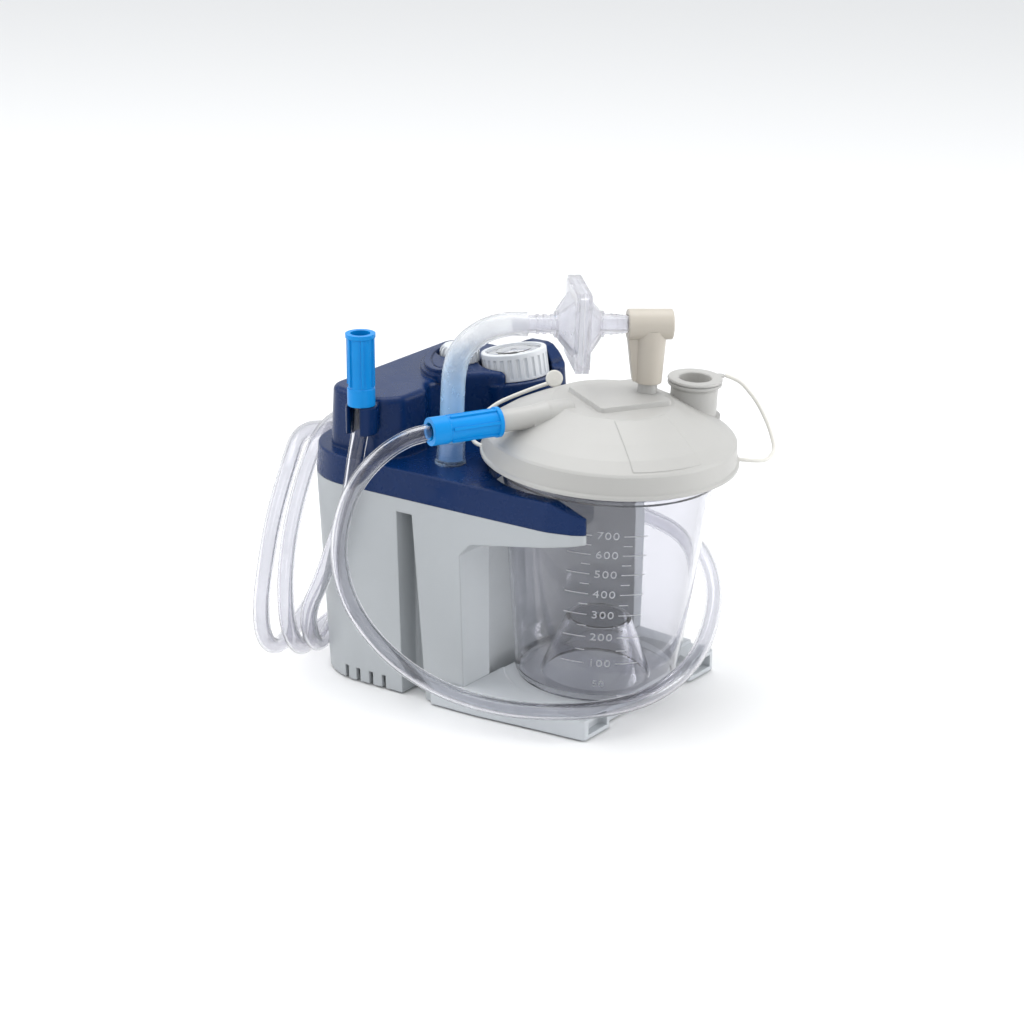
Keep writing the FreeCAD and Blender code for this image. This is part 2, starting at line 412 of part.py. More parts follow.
br = box(-50, 44, R.y - 24, R.y + 24, 14.0, 16.0)
br = br.fuse(box(-49, -45, R.y - 16, R.y + 16, 16, 20.5)).fuse(box(2, 6, R.y - 16, R.y + 16, 16, 20.5)).fuse(box(10, 42, R.y - 12, R.y + 12, 16, R.z - 20)).cut(N["motor_can"])
MT = [(-42, R.y - 19), (-42, R.y + 19), (36, R.y - 19), (36, R.y + 19)]
mounts = None; pscr = None
for x, y in MT:
    m = rev([(2.4, 0), (6, 0), (6, 3), (4.6, 5), (6, 7), (6, 14.0 - Z0 - WALL), (2.4, 14.0 - Z0 - WALL)], V(x, y, Z0 + WALL))
    mounts = m if mounts is None else mounts.fuse(m)
    s = cyl(1.9, 10.3, V(x, y, Z0 + WALL + 0.1)).fuse(cyl(1.9, 7, V(x, y, 9.3))).fuse(cyl(3.8, 2.4, V(x, y, 16.0))).cut(cyl(1.4, 2, V(x, y, 17.2)))
    pscr = s if pscr is None else pscr.fuse(s)
    br = br.cut(cyl(2.1, 10, V(x, y, 12)))
N["pump_bracket"] = br.cut(box(-51, -45.5, R.y + 20, R.y + 25, 13, 17)).removeSplitter()
N["pump_mounts"] = mounts
N["pump_screws"] = pscr
# battery, board, muffler
N["battery_pack"] = fillet(box(-42, 42, 71.5, 103, Z0 + WALL + 0.1, 52), 2.0, lambda e: e.BoundBox.ZLength > 40)
cb = box(-38, 38, 72, 103, 56, 57.6)
for bx, by, sx, sy, sz in ((-30, 80, 12, 10, 7), (-10, 78, 8, 8, 10), (6, 84, 14, 9, 3), (26, 80, 8, 14, 8), (-24, 94, 16, 5, 4), (8, 96, 20, 4, 3)):
    cb = cb.fuse(box(bx - sx / 2, bx + sx / 2, by - sy / 2, by + sy / 2, 57.5, 57.6 + sz))
for x, y in ((-34, 75), (34, 75), (-34, 100), (34, 100)):
    cb = cb.fuse(cyl(2.6, 3.9, V(x, y, 52.1)))
N["circuit_board"] = cb
mf = cyl(9.5, 44, V(-34, 90, 92), V(1, 0, 0)).cut(cyl(8.0, 40, V(-32, 90, 92), V(1, 0, 0)))
mf = mf.fuse(cyl(2.8, 6, V(9, 90, 92), V(1, 0, 0))).cut(cyl(1.6, 30, V(5, 90, 92), V(1, 0, 0))).cut(cyl(2.2, 8, V(-38, 90, 92), V(1, 0, 0)))
N["exhaust_muffler"] = mf
# screws that hold the cover, up through deep wells
cs = None
for x, y in SCREW_AT:
    s = cyl(1.5, 22, V(x, y, 103.9)).fuse(cyl(3.4, 2.4, V(x, y, 101.5))).cut(cyl(1.3, 1.4, V(x, y, 101.3)))
    cs = s if cs is None else cs.fuse(s)
N["cover_screws"] = cs

# internal vacuum hoses
ti = rot(Part.Vertex(V(I.x, I.y, Z_DECK - 26)), I, V(1, 0, 0), LEAN).Point
h1 = [(ti.x, ti.y, ti.z - 0.1), (ti.x, ti.y + 0.82, ti.z - 13.0), (-42.6, 76.6, 83.6), (-34.0, 76.4, 75.6), (-22.0, 76.2, 72.8), (-9.0, 76.0, 75.2), (2.5, 76.2, 80.2), (12.0, 77.2, 86.0), (18.8, 83.2, 89.0), (20.4, 92.3, 89.2), (20.4, 101.9, 89.0)]
s, _ = route(h1, 6.4, "inlet hose")
N["inlet_hose"] = s

# ================================================================ canister
c0, c1 = CAN_Z0, CAN_ZT
rad = lambda z: CAN_R0 + (CAN_RT - CAN_R0) * (z - c0) / (c1 - c0)
can = rev([(PUNT_R0, c0), (CAN_R0 - 3.0, c0), (CAN_R0 - 0.8, c0 + 0.9), (rad(c0 + 3.5), c0 + 3.5), (CAN_RT, c1), (CAN_RT, RIM_Z0), (RIM_R, RIM_Z0), (RIM_R, RIM_Z1), (CAN_RT, RIM_Z1), (CAN_RT, RIM_Z1 + 6.5), (CAN_RT - CAN_W, RIM_Z1 + 6.5),
           (CAN_RT - CAN_W, c1), (rad(c0 + 5) - CAN_W, c0 + 5), (CAN_R0 - 4.4, c0 + CAN_W), (PUNT_R0 + 1.8, c0 + CAN_W), (PUNT_R1 + 0.9, c0 + PUNT_H - 0.4), (PUNT_R1 - 0.2, c0 + PUNT_H + 0.4), (3.0, c0 + PUNT_H + 0.4), (2.0, c0 + PUNT_H + 1.2), (0, c0 + PUNT_H + 1.4),
           (0, c0 + PUNT_H - 1.4), (PUNT_R1 - 1.6, c0 + PUNT_H - 1.4)])
N["canister"] = lean(can)

# ===================================================================== lid
def L(s):
    return lid_frame(s)
lz = LID_Z0
T = 1.8
lid = rev([(CAN_RT + 0.6, lz), (LID_R, lz), (LID_R, lz + 1.4), (LID_RS + 0.8, lz + 2.4), (LID_RS, LID_ZS - 1.3), (LID_RS - 1.1, LID_ZS), (60, 157.9), (50, 163.3), (LID_RP, LID_ZP), (0, LID_ZP + 0.4),
           (0, LID_ZP + 0.4 - T), (LID_RP - 0.4, LID_ZP - T), (50, 161.1), (60, 155.5), (LID_RS - 2.2, LID_ZS - 1.7), (LID_RS - 2.2, lz + 6.5), (CAN_RT + 0.6, lz + 5.5)])
plat = [(-17.5, -19.0), (26.5, -19.0), (26.5, 21.0), (-17.5, 21.0)]
def ofs(d):
    return [(-17.5 + d, -19.0 + d), (26.5 - d, -19.0 + d), (26.5 - d, 21.0 - d), (-17.5 + d, 21.0 - d)]
# platform with chamfered sides running down onto the cone
pl = loft([rwire(ofs(-1.6), 4.0, LID_ZP - 7.0), rwire(ofs(0.6), 2.0, PLAT_Z)])
pli = loft([rwire(ofs(0.8), 3.0, LID_ZP - 9.0), rwire(ofs(2.6), 1.5, PLAT_Z - T)])
lid = lid.fuse(rev([(CAN_RT - CAN_W - 0.1, 144.45), (LID_RS - 1.4, 144.45), (LID_RS - 1.4, 146.4), (CAN_RT - CAN_W - 0.1, 146.4)]))
inner_cone = rev([(0, 100), (LID_RS - 4, 100), (LID_RS - 4, LID_ZS - 0.4), (60, 155.3), (50, 160.9), (LID_RP - 0.4, LID_ZP - T), (0, LID_ZP - T)])
lid = lid.fuse(pl.cut(inner_cone)).cut(pli)
# front panel, a shallow raised trapezoid on the cone facing the front
trap = Part.Face(Part.makePolygon([V(-23, -80, 150), V(23, -80, 150), V(15, -28, 150), V(-15, -28, 150), V(-23, -80, 150)])).extrude(V(0, 0, 40))
shell2 = rev([(LID_RS - 2.4, LID_ZS + 1.25), (60, 158.25), (50, 163.65), (LID_RP + 1, LID_ZP - 0.1), (LID_RP + 1, LID_ZP - 1.5), (50, 162.3), (60, 156.8), (LID_RS - 2.4, LID_ZS)])
lid = lid.fuse(shell2.common(trap))
# spout shelf and pour spout
spout = cyl(12.9, SPOUT_Z - 147, V(SPOUT_X, 0, 147)).cut(inner_cone)
collar = rev([(12.0, -3.4), (12.9, -3.4), (14.9, -1.6), (14.9, 0), (12.0, 0)], V(SPOUT_X, 0, SPOUT_Z))
ridge = cyl(15.2, 10.0, V(SPOUT_X, 0, 148)).cut(inner_cone)
lid = lid.fuse(spout).fuse(collar).fuse(ridge.common(cyl(LID_RS - 0.3, 60, V(0, 0, 120))))
lid = lid.cut(cyl(10.9, 60, V(SPOUT_X, 0, 146.5)))
# vacuum port on the platform
lid = lid.fuse(cone(5.6, 4.9, PORT_TOP - PLAT_Z + 1.5, V(PORT_X, 0, PLAT_Z - 1.5))).cut(cyl(3.1, 40, V(PORT_X, 0, 160)))
# patient port: sideways stub faired into the cone
pdir = V(-1, 0, -0.03).normalize()
def on_port(r):
    return V(-PP_R0, 0, PP_Z) + pdir * (r - PP_R0)
pp = cone(7.6, 6.2, 9, on_port(PP_R0), pdir).fuse(cone(6.2, 5.7, PP_R1 - PP_R0 - 9, on_port(PP_R0 + 9), pdir))
pp = pp.fuse(prism([(-36, -7.6), (-36, 7.6), (-50, 6.0), (-50, -6.0)], 0, 150, PP_Z)).fuse(prism([(-26, -7.6), (-26, 7.6), (-40, 7.6), (-40, -7.6)], 0, 160, PP_Z + 0.5)).fuse(cyl(7.6, 14, V(-26, 0, PP_Z), pdir)).cut(inner_cone)
lid = lid.fuse(pp).cut(cyl(4.1, 40, V(-32, 0, PP_Z), pdir)).cut(cyl(4.1, 20, V(-36, 0, 148)))
N["lid"] = L(lid.removeSplitter())
sol = sorted(N["lid"].Solids, key=lambda s: -s.Volume)
N["lid"] = sol[0]
N["lid_gasket"] = L(rev([(CAN_RT - CAN_W - 0.1, 142.4), (CAN_RT + 0.3, 142.4), (CAN_RT + 0.3, 144.4), (CAN_RT - CAN_W - 0.1, 144.4)]))

# float valve under the vacuum port
fc = rev([(7.4, 146.6), (7.4, 167.2), (8.8, 167.2), (8.8, 162.6), (24, 158.5), (24, 157.2), (8.8, 161.2), (8.8, 145), (2.6, 145), (2.6, 146.6)], V(PORT_X, 0, 0))
for i in range(2):
    b = box(PORT_X - 12, PORT_X + 12, -2.6, 2.6, 148.5, 156)
    b.rotate(V(PORT_X, 0, 0), V(0, 0, 1), 90 * i)
    fc = fc.cut(b)
N["float_cage"] = L(fc)
N["float_ball"] = L(Part.makeSphere(6.7, V(PORT_X, 0, 154.0)))

# spout plug with recessed centre
pgz = SPOUT_Z + GAP
pg = rev([(0, -9), (10.2, -9), (10.5, -0.1), (14.9, -0.1), (15.1, 0.7), (14.6, 1.5), (9.6, 1.5), (8.9, 0.9), (8.6, -7.6), (0, -7.6)], V(SPOUT_X, 0, pgz + 0.1))
pg = pg.fuse(cyl(2.6, 1.1, V(SPOUT_X + 15.6, 0, pgz + 0.1)).cut(cyl(14.0, 3, V(SPOUT_X, 0, pgz - 0.5))))
N["spout_plug"] = L(pg)

# straps: thin flexible bands from the flange to the two stoppers
def P_lid(x, y, z):
    p = lid_frame(Part.Vertex(V(x, y, z))).Point
    return (p.x, p.y, p.z)
st, _ = route([P_lid(*p) for p in [(SPOUT_X + 18.6, -0.4, pgz + 0.9), (76.5, -4.5, 175.0), (83.5, -12, 165.0), (87.5, -20, 152.5), (87, -28.5, 142.5), (79.5, -33.5, 139.0), (70.5, -34.0, 139.9), (62.5, -30.7, 140.6)]], 2.2, "spout strap")
st = st.cut(N["lid"])
N["spout_strap"] = max(st.Solids, key=lambda q: q.Volume)
pol = lambda r, a, z: (r * math.cos(math.radians(a)), r * math.sin(math.radians(a)), z)
st, _ = route([P_lid(*pol(*q)) for q in [(67.5, 154, 140.7), (73.6, 150.5, 141.4), (76.4, 144.5, 143.4), (76.6, 138, 146.4), (73.8, 131.5, 150.4), (69.6, 125.8, 154.9), (62.8, 121.6, 159.0), (55.8, 118.4, 163.0), (49.4, 114.6, 166.6), (45.0, 109.0, 168.9)]], 2.2, "port strap")
st = st.cut(N["lid"])
N["port_strap"] = max(st.Solids, key=lambda q: q.Volume)
# small stopper for the patient port, parked on the cone
ps = rev([(0, 0), (4.7, 0), (4.7, 1.5), (4.2, 2.0), (0, 2.1)]).fuse(rev([(0, -5.4), (2.9, -5.4), (3.3, 0.1), (0, 0.1)]))
ps.rotate(V(0, 0, 0), V(-0.896, 0.443, 0), -66.0)
ps.translate(V(-13.4, 43.4, 170.3))
ps = L(ps).cut(N["lid"])
N["port_stopper"] = max(ps.Solids, key=lambda q: q.Volume).cut(N["port_strap"])

# ================================================== elbow, filter and hose
ax = V(-0.68, 0.733, 0.035).normalize()
pc = lid_frame(Part.Vertex(V(PORT_X, 0, PLAT_Z))).Point
top = lid_frame(Part.Vertex(V(PORT_X, 0, 300))).Point
up = (top - pc).normalize()
EC = pc + up * (BAR_Z - PLAT_Z)
LEG0 = pc + up * 5.6
hz = V(-ax.x, -ax.y, -ax.z)
el = cyl(8.3, 24.5, EC + ax * 13.3, hz)
el = fillet(el, 0.8, lambda e: e.Length > 40 and len(e.Vertexes) == 1)
leg_l = (EC - LEG0).Length
leg = cone(7.4, 8.5, leg_l - 2, LEG0, up)
web0, web1 = LEG0 + up * 2.0, EC + ax * 12.4
web = Part.Face(Part.makePolygon([LEG0 + up * 1.0, LEG0 + up * 1.0 + ax * 8.8, EC + ax * 13.0 - up * 5.5, EC - up * 5.5, LEG0 + up * 1.0]))
nrm = ax.cross(up).normalize()
web = web.extrude(nrm * 7.0); web.translate(nrm * -3.5)
elb = el.fuse(leg).fuse(web)
elb = elb.cut(cyl(3.4, leg_l + 2, LEG0 - up * 1.0, up)).cut(cyl(3.4, 16, EC + ax * 14.3, hz))
elb = elb.cut(lid_frame(cone(5.65 + GAP, 4.9 + GAP, PORT_TOP - PLAT_Z + 1.9, V(PORT_X, 0, PLAT_Z - 1.5))))
elb = elb.cut(cyl(5.2, 9.8, EC + ax * 13.5, hz))
N["elbow"] = max(elb.Solids, key=lambda s: s.Volume)

FC = EC + ax * 39.9                       # filter centre
def ring_on_axis(prof, c, d):
    # (r, along) profile turned about the axis d through c
    s = rev(prof)
    r = FreeCAD.Rotation(V(0, 0, 1), d)
    s.Placement = FreeCAD.Placement(c, r)
    return s
def plate(h0, h1, half, r):
    # square plate across the axis, from h0 to h1 along it
    e1 = V(0, 0, 1) - ax * ax.z; e1 = e1.normalize(); e2 = ax.cross(e1).normalize()
    m = FreeCAD.Matrix(e2.x, e1.x, ax.x, FC.x, e2.y, e1.y, ax.y, FC.y, e2.z, e1.z, ax.z, FC.z, 0, 0, 0, 1)
    if isinstance(half, (int, float)):
        s = prism([(-half, -half), (half, -half), (half, half), (-half, half)], r, h0, h1)
    else:
        s = loft([rwire([(-half[0], -half[0]), (half[0], -half[0]), (half[0], half[0]), (-half[0], half[0])], r[0], h0), rwire([(-half[1], -half[1]), (half[1], -half[1]), (half[1], half[1]), (-half[1], half[1])], r[1], h1)])
    s.transformShape(m)
    return s
HF = 22.0
def shell(sg):
    a = lambda v: sg * v
    def pl(h0, h1, half, r):
        if sg > 0:
            return plate(h0, h1, half, r)
        if isinstance(half, tuple):
            return plate(-h1, -h0, half[::-1], r[::-1])
        return plate(-h1, -h0, half, r)
    s = pl(0.35, 3.4, HF, 2.5).fuse(pl(3.3, 4.2, HF - 1.6, 2.5)).fuse(pl(4.1, 11.5, (15.5, 7.4), (5.0, 3.5)))
    s = s.cut(pl(0.2, 2.2, HF - 3.0, 2.0)).cut(pl(2.1, 10.4, (14.0, 5.0), (4.0, 3.0)))
    d = ax if sg > 0 else hz
    s = s.fuse(ring_on_axis([(3.2, 10.5), (7.2, 10.5), (7.2, 13.5), (6.2, 14.0), (5.6, 14.2), (5.6, 17.4), (5.9, 17.5), (5.2, 20.4), (5.6, 20.5), (4.9, 23.4), (5.2, 23.5), (4.5, 27.0), (3.2, 27.0)] if sg < 0 else
                              [(3.2, 10.5), (7.2, 10.5), (7.2, 12.8), (5.4, 13.3), (5.4, 15.0), (4.8, 15.3), (4.8, 17.0), (5.4, 17.3), (5.4, 19.0), (4.8, 19.3), (4.8, 21.0), (5.4, 21.3), (5.4, 22.8), (4.8, 23.1), (4.8, 27.0), (4.5, 27.2), (4.2, 31.0), (4.5, 31.1), (4.1, 35.4), (3.2, 35.4)], FC, d))
    s = s.cut(cyl(3.2, 60, FC, d))
    return max(s.Solids, key=lambda q: q.Volume)
N["filter_hose_shell"] = shell(1)
N["filter_elbow_shell"] = shell(-1).cut(N["elbow"])
N["filter_elbow_shell"] = max(N["filter_elbow_shell"].Solids, key=lambda q: q.Volume)
N["filter_membrane"] = plate(-0.3, 0.3, HF - 3.2, 1.5)

# milky hose from the filter down onto the inlet
HT = FC + ax * 27.2
lean_dir = rot(Part.Vertex(V(0, 0, 1)), V(0, 0, 0), V(1, 0, 0), LEAN).Point
HB = I + lean_dir * (2.9)
foot = I + lean_dir * 44.0
h0 = math.degrees(math.atan2(ax.y, ax.x))
p, hp, seg = V(0, 0, 0), [], 1.0
for i, hd_ in enumerate((h0, h0 - 6, h0 - 16, h0 - 28, h0 - 42)):
    c = math.cos(math.radians(18.0 * i + 2)); a = math.radians(hd_)
    p = p + V(c * math.cos(a), c * math.sin(a), -math.sin(math.radians(18.0 * i - 2)))
    hp.append(p)
k = V(hp[-1].x, hp[-1].y, 0); want = foot - HT; wp = V(want.x, want.y, 0)
sc = wp.Length / k.Length
turn = math.degrees(math.atan2(wp.y, wp.x) - math.atan2(k.y, k.x))
print("hose scale", sc, "turn", turn, "drop", -hp[-1].z * sc, "of", HT.z - foot.z)
bend = []
for q in hp:
    v = FreeCAD.Rotation(V(0, 0, 1), turn * 0.0).multVec(V(q.x, q.y, q.z)) * sc
    bend.append(v)
fix = foot - HT - bend[-1]
bend = [HT + v + V(fix.x, fix.y, 0) * ((i + 1) / 5.0) ** 2 for i, v in enumerate(bend)]
zb = bend[-1].z
hose_pts = [tuple(HT)] + [tuple(v) for v in bend] + [tuple(I + lean_dir * t + V(-0.6, 0.2, 0)) for t in (zb - Z_DECK - 16.5,)] + [tuple(I + lean_dir * 16.0), tuple(HB)]
print("hose points", [[round(c, 1) for c in q] for q in hose_pts])
s, sweep = route(hose_pts, HOSE_D, "suction hose")
s = s.cut(sweep(HOSE_ID))
s = s.cut(rot(rev([(0, 2.0), (5.2, 2.0), (5.2, 14.3), (4.4, 16.0), (4.4, 17.4), (0, 17.4)], V(I.x, I.y, Z_DECK)), I, V(1, 0, 0), LEAN)).cut(N["inlet_barb"])
s = s.cut(N["filter_hose_shell"])
N["suction_hose"] = max(s.Solids, key=lambda q: q.Volume)

# ============================================== patient tube and connectors
pe = lid_frame(Part.Vertex(on_port(PP_R1))).Point
pd = (lid_frame(Part.Vertex(on_port(PP_R1 + 10))).Point - pe).normalize()
PE = pe - pd * 5.0                                  # flange face of the connector
def connector(c, d, bore=5.9):
    prof = [(bore, 0.0), (8.2, 0.0), (8.2, 2.2), (7.2, 2.6), (7.0, 30.0), (7.6, 30.6), (7.6, 40.0), (4.9, 40.0), (4.9, 24.0), (3.3, 23.0), (3.3, 20.0), (min(bore, 5.4), 19.0)]
    s = ring_on_axis(prof, V(0, 0, 0), V(0, 0, 1))
    for i in range(6):
        b = box(6.6, 8.0, -0.8, 0.8, 2.4, 29.0); b.rotate(V(0, 0, 0), V(0, 0, 1), 60 * i + 15); s = s.fuse(b)
    s.Placement = FreeCAD.Placement(c, FreeCAD.Rotation(V(0, 0, 1), d))
    return s
cn = connector(PE, pd)
cn = cn.cut(lid_frame(cone(6.2, 5.7, PP_R1 - PP_R0 - 9, on_port(PP_R0 + 9), pdir)))
N["patient_connector"] = max(cn.Solids, key=lambda q: q.Volume)
CE = PE + pd * 40.0
print("connector end", CE, "dir", pd)
FCB = V(CLIP.x, CLIP.y, 165.7)
fdir = V(0, 0, 1)
N["free_connector"] = connector(FCB + V(0, 0, 40), V(0, 0, -1), 5.4)
t0 = CE + pd * GAP
TUBE = [tuple(t0), (-107.6, 58.5, 164.7), (-118.2, 67.8, 155.2), (-123.8, 78.2, 139.6), (-119.5, 89.5, 119.5),
        (-112.5, 98.4, 99.7), (-107.2, 101.2, 80.3), (-103.6, 97.6, 63.0), (-101.7, 86.7, 48.5), (-98.7, 72.1, 35.7),
        (-94.6, 54.2, 25.7), (-89.4, 33.2, 19.4), (-82.5, 10.3, 16.6), (-75.3, -11.5, 17.6), (-59.1, -31.0, 17.5),
        (-37.3, -47.6, 19.9), (-7.5, -50.0, 22.3), (20.8, -46.6, 27.5), (45.1, -38.7, 36.1), (66.6, -27.8, 45.0),
        (82.7, -13.7, 54.2), (93.6, 2.2, 61.9), (99.2, 24.5, 67.9), (82.3, 70.6, 81.2), (80.0, 106.5, 82.0),
        (78.0, 137.3, 84.0), (72.3, 165.2, 89.7), (55.2, 187.4, 100.4), (26.9, 193.6, 104.6), (-3.5, 191.0, 121.3),
        (-32.9, 189.5, 127.3), (-57.6, 177.6, 115.7), (-72.8, 176.9, 88.8), (-84.0, 174.1, 64.3), (-89.6, 173.7, 42.8),
        (-83.5, 178.1, 20.2), (-65.8, 184.6, 5.7), (-41.7, 192.9, 4.9), (-13.9, 204.1, 9.9), (27.1, 203.5, 37.5),
        (47.1, 201.8, 65.3), (46.5, 204.3, 92.5), (28.2, 196.3, 119.5), (-2.5, 184.1, 130.0), (-31.4, 177.0, 126.7),
        (-51.5, 173.5, 104.5), (-64.2, 172.4, 78.8), (-81.4, 162.7, 56.1), (-80.0, 162.4, 26.0), (-58.7, 170.4, 4.9),
        (-24.5, 186.1, 5.4), (6.4, 189.1, 8.0), (34.0, 190.0, 22.1), (53.9, 188.5, 45.4), (59.9, 184.1, 75.4),
        (46.9, 179.4, 102.2), (19.1, 178.0, 113.2), (-7.3, 176.1, 101.7), (-17.5, 174.7, 74.9), (-7.3, 176.3, 48.0),
        (-13.7, 175.3, 24.4), (-32.8, 170.2, 9.9), (-53.5, 162.3, 9.3), (-70.3, 153.8, 21.0), (-78.8, 148.9, 40.5),
        (-76.5, 139.7, 60.3), (-79.9, 128.1, 84.1), (-79.3, 120.2, 104.7), (-75.6, 118.3, 118.0), (-76.0, 115.0, 135.8),
        (-71.8, 113.5, 154.0), (CLIP.x, CLIP.y, 165.7)]
s, _ = route(TUBE, TUBE_D, "patient tube")
s = s.cut(cyl(16.0, 8.0, t0, V(-pd.x, -pd.y, -pd.z)))
s = max(s.Solids, key=lambda q: q.Volume)
N["patient_tube"] = s

# ------------------------------------------------------------------- export
CORD = ["patient_tube", "patient_connector", "free_connector"]
def ext(shape):
    p = shape.tessellate(0.05)[0]
    return [min(q.x for q in p), max(q.x for q in p), min(q.y for q in p), max(q.y for q in p), min(q.z for q in p), max(q.z for q in p)]
E = {k: ext(v) for k, v in N.items()}
lim = [f(E[k][i] for k in E if k not in CORD) for i, f in enumerate((min, max, min, max, min, max))]
# origin at the bottom centre of the object without the tube
move = V(-(lim[0] + lim[1]) / 2, -(lim[2] + lim[3]) / 2, -lim[4])
print("move", move, "limits", [round(v, 3) for v in lim])
for k, s in N.items():
    s = s.copy()
    s.translate(move)
    e = E[k]
    print("%-20s solids %d vol %.0f valid %s x %.1f %.1f y %.1f %.1f z %.1f %.1f" % (k, len(s.Solids), s.Volume, s.isValid(), e[0] + move.x, e[1] + move.x, e[2] + move.y, e[3] + move.y, e[4] + move.z, e[5] + move.z))
    s.exportStep("parts/%s.step" % k)
def at(p):
    return [round((a + b) / 1000, 6) for a, b in zip((p.x, p.y, p.z), (move.x, move.y, move.z))]
print("KEY", {"up": [round(v, 6) for v in up], "gauge_axis": [round(v, 6) for v in gauge_frame(Part.Vertex(GA + V(0, 0, 1))).Point - GA], "gauge": at(GA), "knob": at(KN), "inlet": at(INLET), "rotor": at(ROTOR),
              "rocker": at(V(SX - 1.0, 128, 48)), "spout": at(lid_frame(Part.Vertex(V(SPOUT_X, 0, SPOUT_Z))).Point), "pe": at(PE), "pd": [round(v, 6) for v in pd], "ce": at(CE), "free": at(V(CLIP.x, CLIP.y, 205.7)), "ec": at(EC), "fc": at(FC), "ax": [round(v, 6) for v in ax], "origin": at(V(0, 0, 0)),
              "port": at(lid_frame(Part.Vertex(V(PORT_X, 0, PORT_TOP))).Point), "float": at(lid_frame(Part.Vertex(V(PORT_X, 0, 154))).Point), "clip": at(CLIP), "dc": at(V(SX, 100.5, 48))})
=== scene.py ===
import bpy
import bmesh
import math
from mathutils import Matrix, Vector


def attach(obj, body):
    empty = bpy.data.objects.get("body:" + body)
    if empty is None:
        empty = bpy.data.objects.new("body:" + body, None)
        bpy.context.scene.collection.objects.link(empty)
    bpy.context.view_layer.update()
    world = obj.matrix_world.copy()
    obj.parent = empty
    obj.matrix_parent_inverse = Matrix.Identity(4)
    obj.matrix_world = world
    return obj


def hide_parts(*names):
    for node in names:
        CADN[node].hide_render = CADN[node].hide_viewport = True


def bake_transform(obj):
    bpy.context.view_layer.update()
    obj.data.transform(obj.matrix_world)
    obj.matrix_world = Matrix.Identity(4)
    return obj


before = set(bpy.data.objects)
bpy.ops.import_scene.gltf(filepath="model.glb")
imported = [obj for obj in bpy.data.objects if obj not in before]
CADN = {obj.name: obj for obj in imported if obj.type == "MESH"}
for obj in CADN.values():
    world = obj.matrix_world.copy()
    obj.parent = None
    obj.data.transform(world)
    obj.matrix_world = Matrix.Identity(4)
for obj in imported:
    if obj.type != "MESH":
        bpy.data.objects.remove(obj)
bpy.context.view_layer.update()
scene = bpy.context.scene

# everything is in metres in the row frame; the canister axis crosses z = 0.1395 here
AX, AY = 0.002889, -0.048429
LEAN = math.radians(3.6)
LIDROT = math.radians(-28.0)
PIV = Vector((AX, AY, 0.1395))


def can_pt(x, y, z):
    """canister frame (metres about its own axis, z above the table) to row frame"""
    p = Vector((x, y, z - 0.1395))
    p.rotate(Matrix.Rotation(LEAN, 3, "X"))
    return PIV + p


def can_matrix():
    return Matrix.Translation(PIV) @ Matrix.Rotation(LEAN, 4, "X") @ Matrix.Translation((0, 0, -0.1395))


def lid_matrix():
    return can_matrix() @ Matrix.Rotation(LIDROT, 4, "Z")


# ------------------------------------------------------------------- camera
AZ, EL, DIST, FPX = math.radians(-54.3), math.radians(19.0), 1.674, 3096.0
right = Vector((math.cos(AZ), math.sin(AZ), 0))
back = Vector((math.sin(AZ) * math.cos(EL), -math.cos(AZ) * math.cos(EL), math.sin(EL)))
upv = back.cross(right)
dx, dy = (609.5 - 512) / FPX * DIST, -(455 - 512) / FPX * DIST
cam_data = bpy.data.cameras.new("camera")
cam_data.sensor_width = 36.0
cam_data.lens = FPX / 1024 * 36.0
cam_data.clip_start, cam_data.clip_end = 0.05, 50
cam = bpy.data.objects.new("camera", cam_data)
scene.collection.objects.link(cam)
rot = Matrix((right, upv, back)).transposed()
cam.matrix_world = Matrix.Translation(PIV + back * DIST - right * dx - upv * dy) @ rot.to_4x4()
scene.camera = cam


# ---------------------------------------------------------------- materials
def nodes_of(m):
    m.use_nodes = True
    nt = m.node_tree
    return nt, nt.nodes, nt.links, nt.nodes["Principled BSDF"]


def noise(nt, coord, scale, detail=3.0, rough=0.55, dist=0.0):
    n = nt.nodes.new("ShaderNodeTexNoise")
    n.inputs["Scale"].default_value = scale
    n.inputs["Detail"].default_value = detail
    n.inputs["Roughness"].default_value = rough
    n.inputs["Distortion"].default_value = dist
    nt.links.new(coord, n.inputs["Vector"])
    return n.outputs["Fac"]


def ramp(nt, fac, a, b, p0=0.3, p1=0.7):
    r = nt.nodes.new("ShaderNodeValToRGB")
    r.color_ramp.elements[0].position = p0
    r.color_ramp.elements[1].position = p1
    r.color_ramp.elements[0].color = (*a, 1)
    r.color_ramp.elements[1].color = (*b, 1)
    nt.links.new(fac, r.inputs["Fac"])
    return r.outputs["Color"]


def rangemap(nt, fac, lo, hi, f0=0.25, f1=0.75):
    r = nt.nodes.new("ShaderNodeMapRange")
    r.inputs["From Min"].default_value = f0
    r.inputs["From Max"].default_value = f1
    r.inputs["To Min"].default_value = lo
    r.inputs["To Max"].default_value = hi
    nt.links.new(fac, r.inputs["Value"])
    return r.outputs["Result"]


def bump(nt, height, strength, distance, normal=None):
    b = nt.nodes.new("ShaderNodeBump")
    b.inputs["Strength"].default_value = strength
    b.inputs["Distance"].default_value = distance
    nt.links.new(height, b.inputs["Height"])
    if normal is not None:
        nt.links.new(normal, b.inputs["Normal"])
    return b.outputs["Normal"]


def shade(c, k):
    return tuple(max(0.0, min(1.0, v * k)) for v in c)


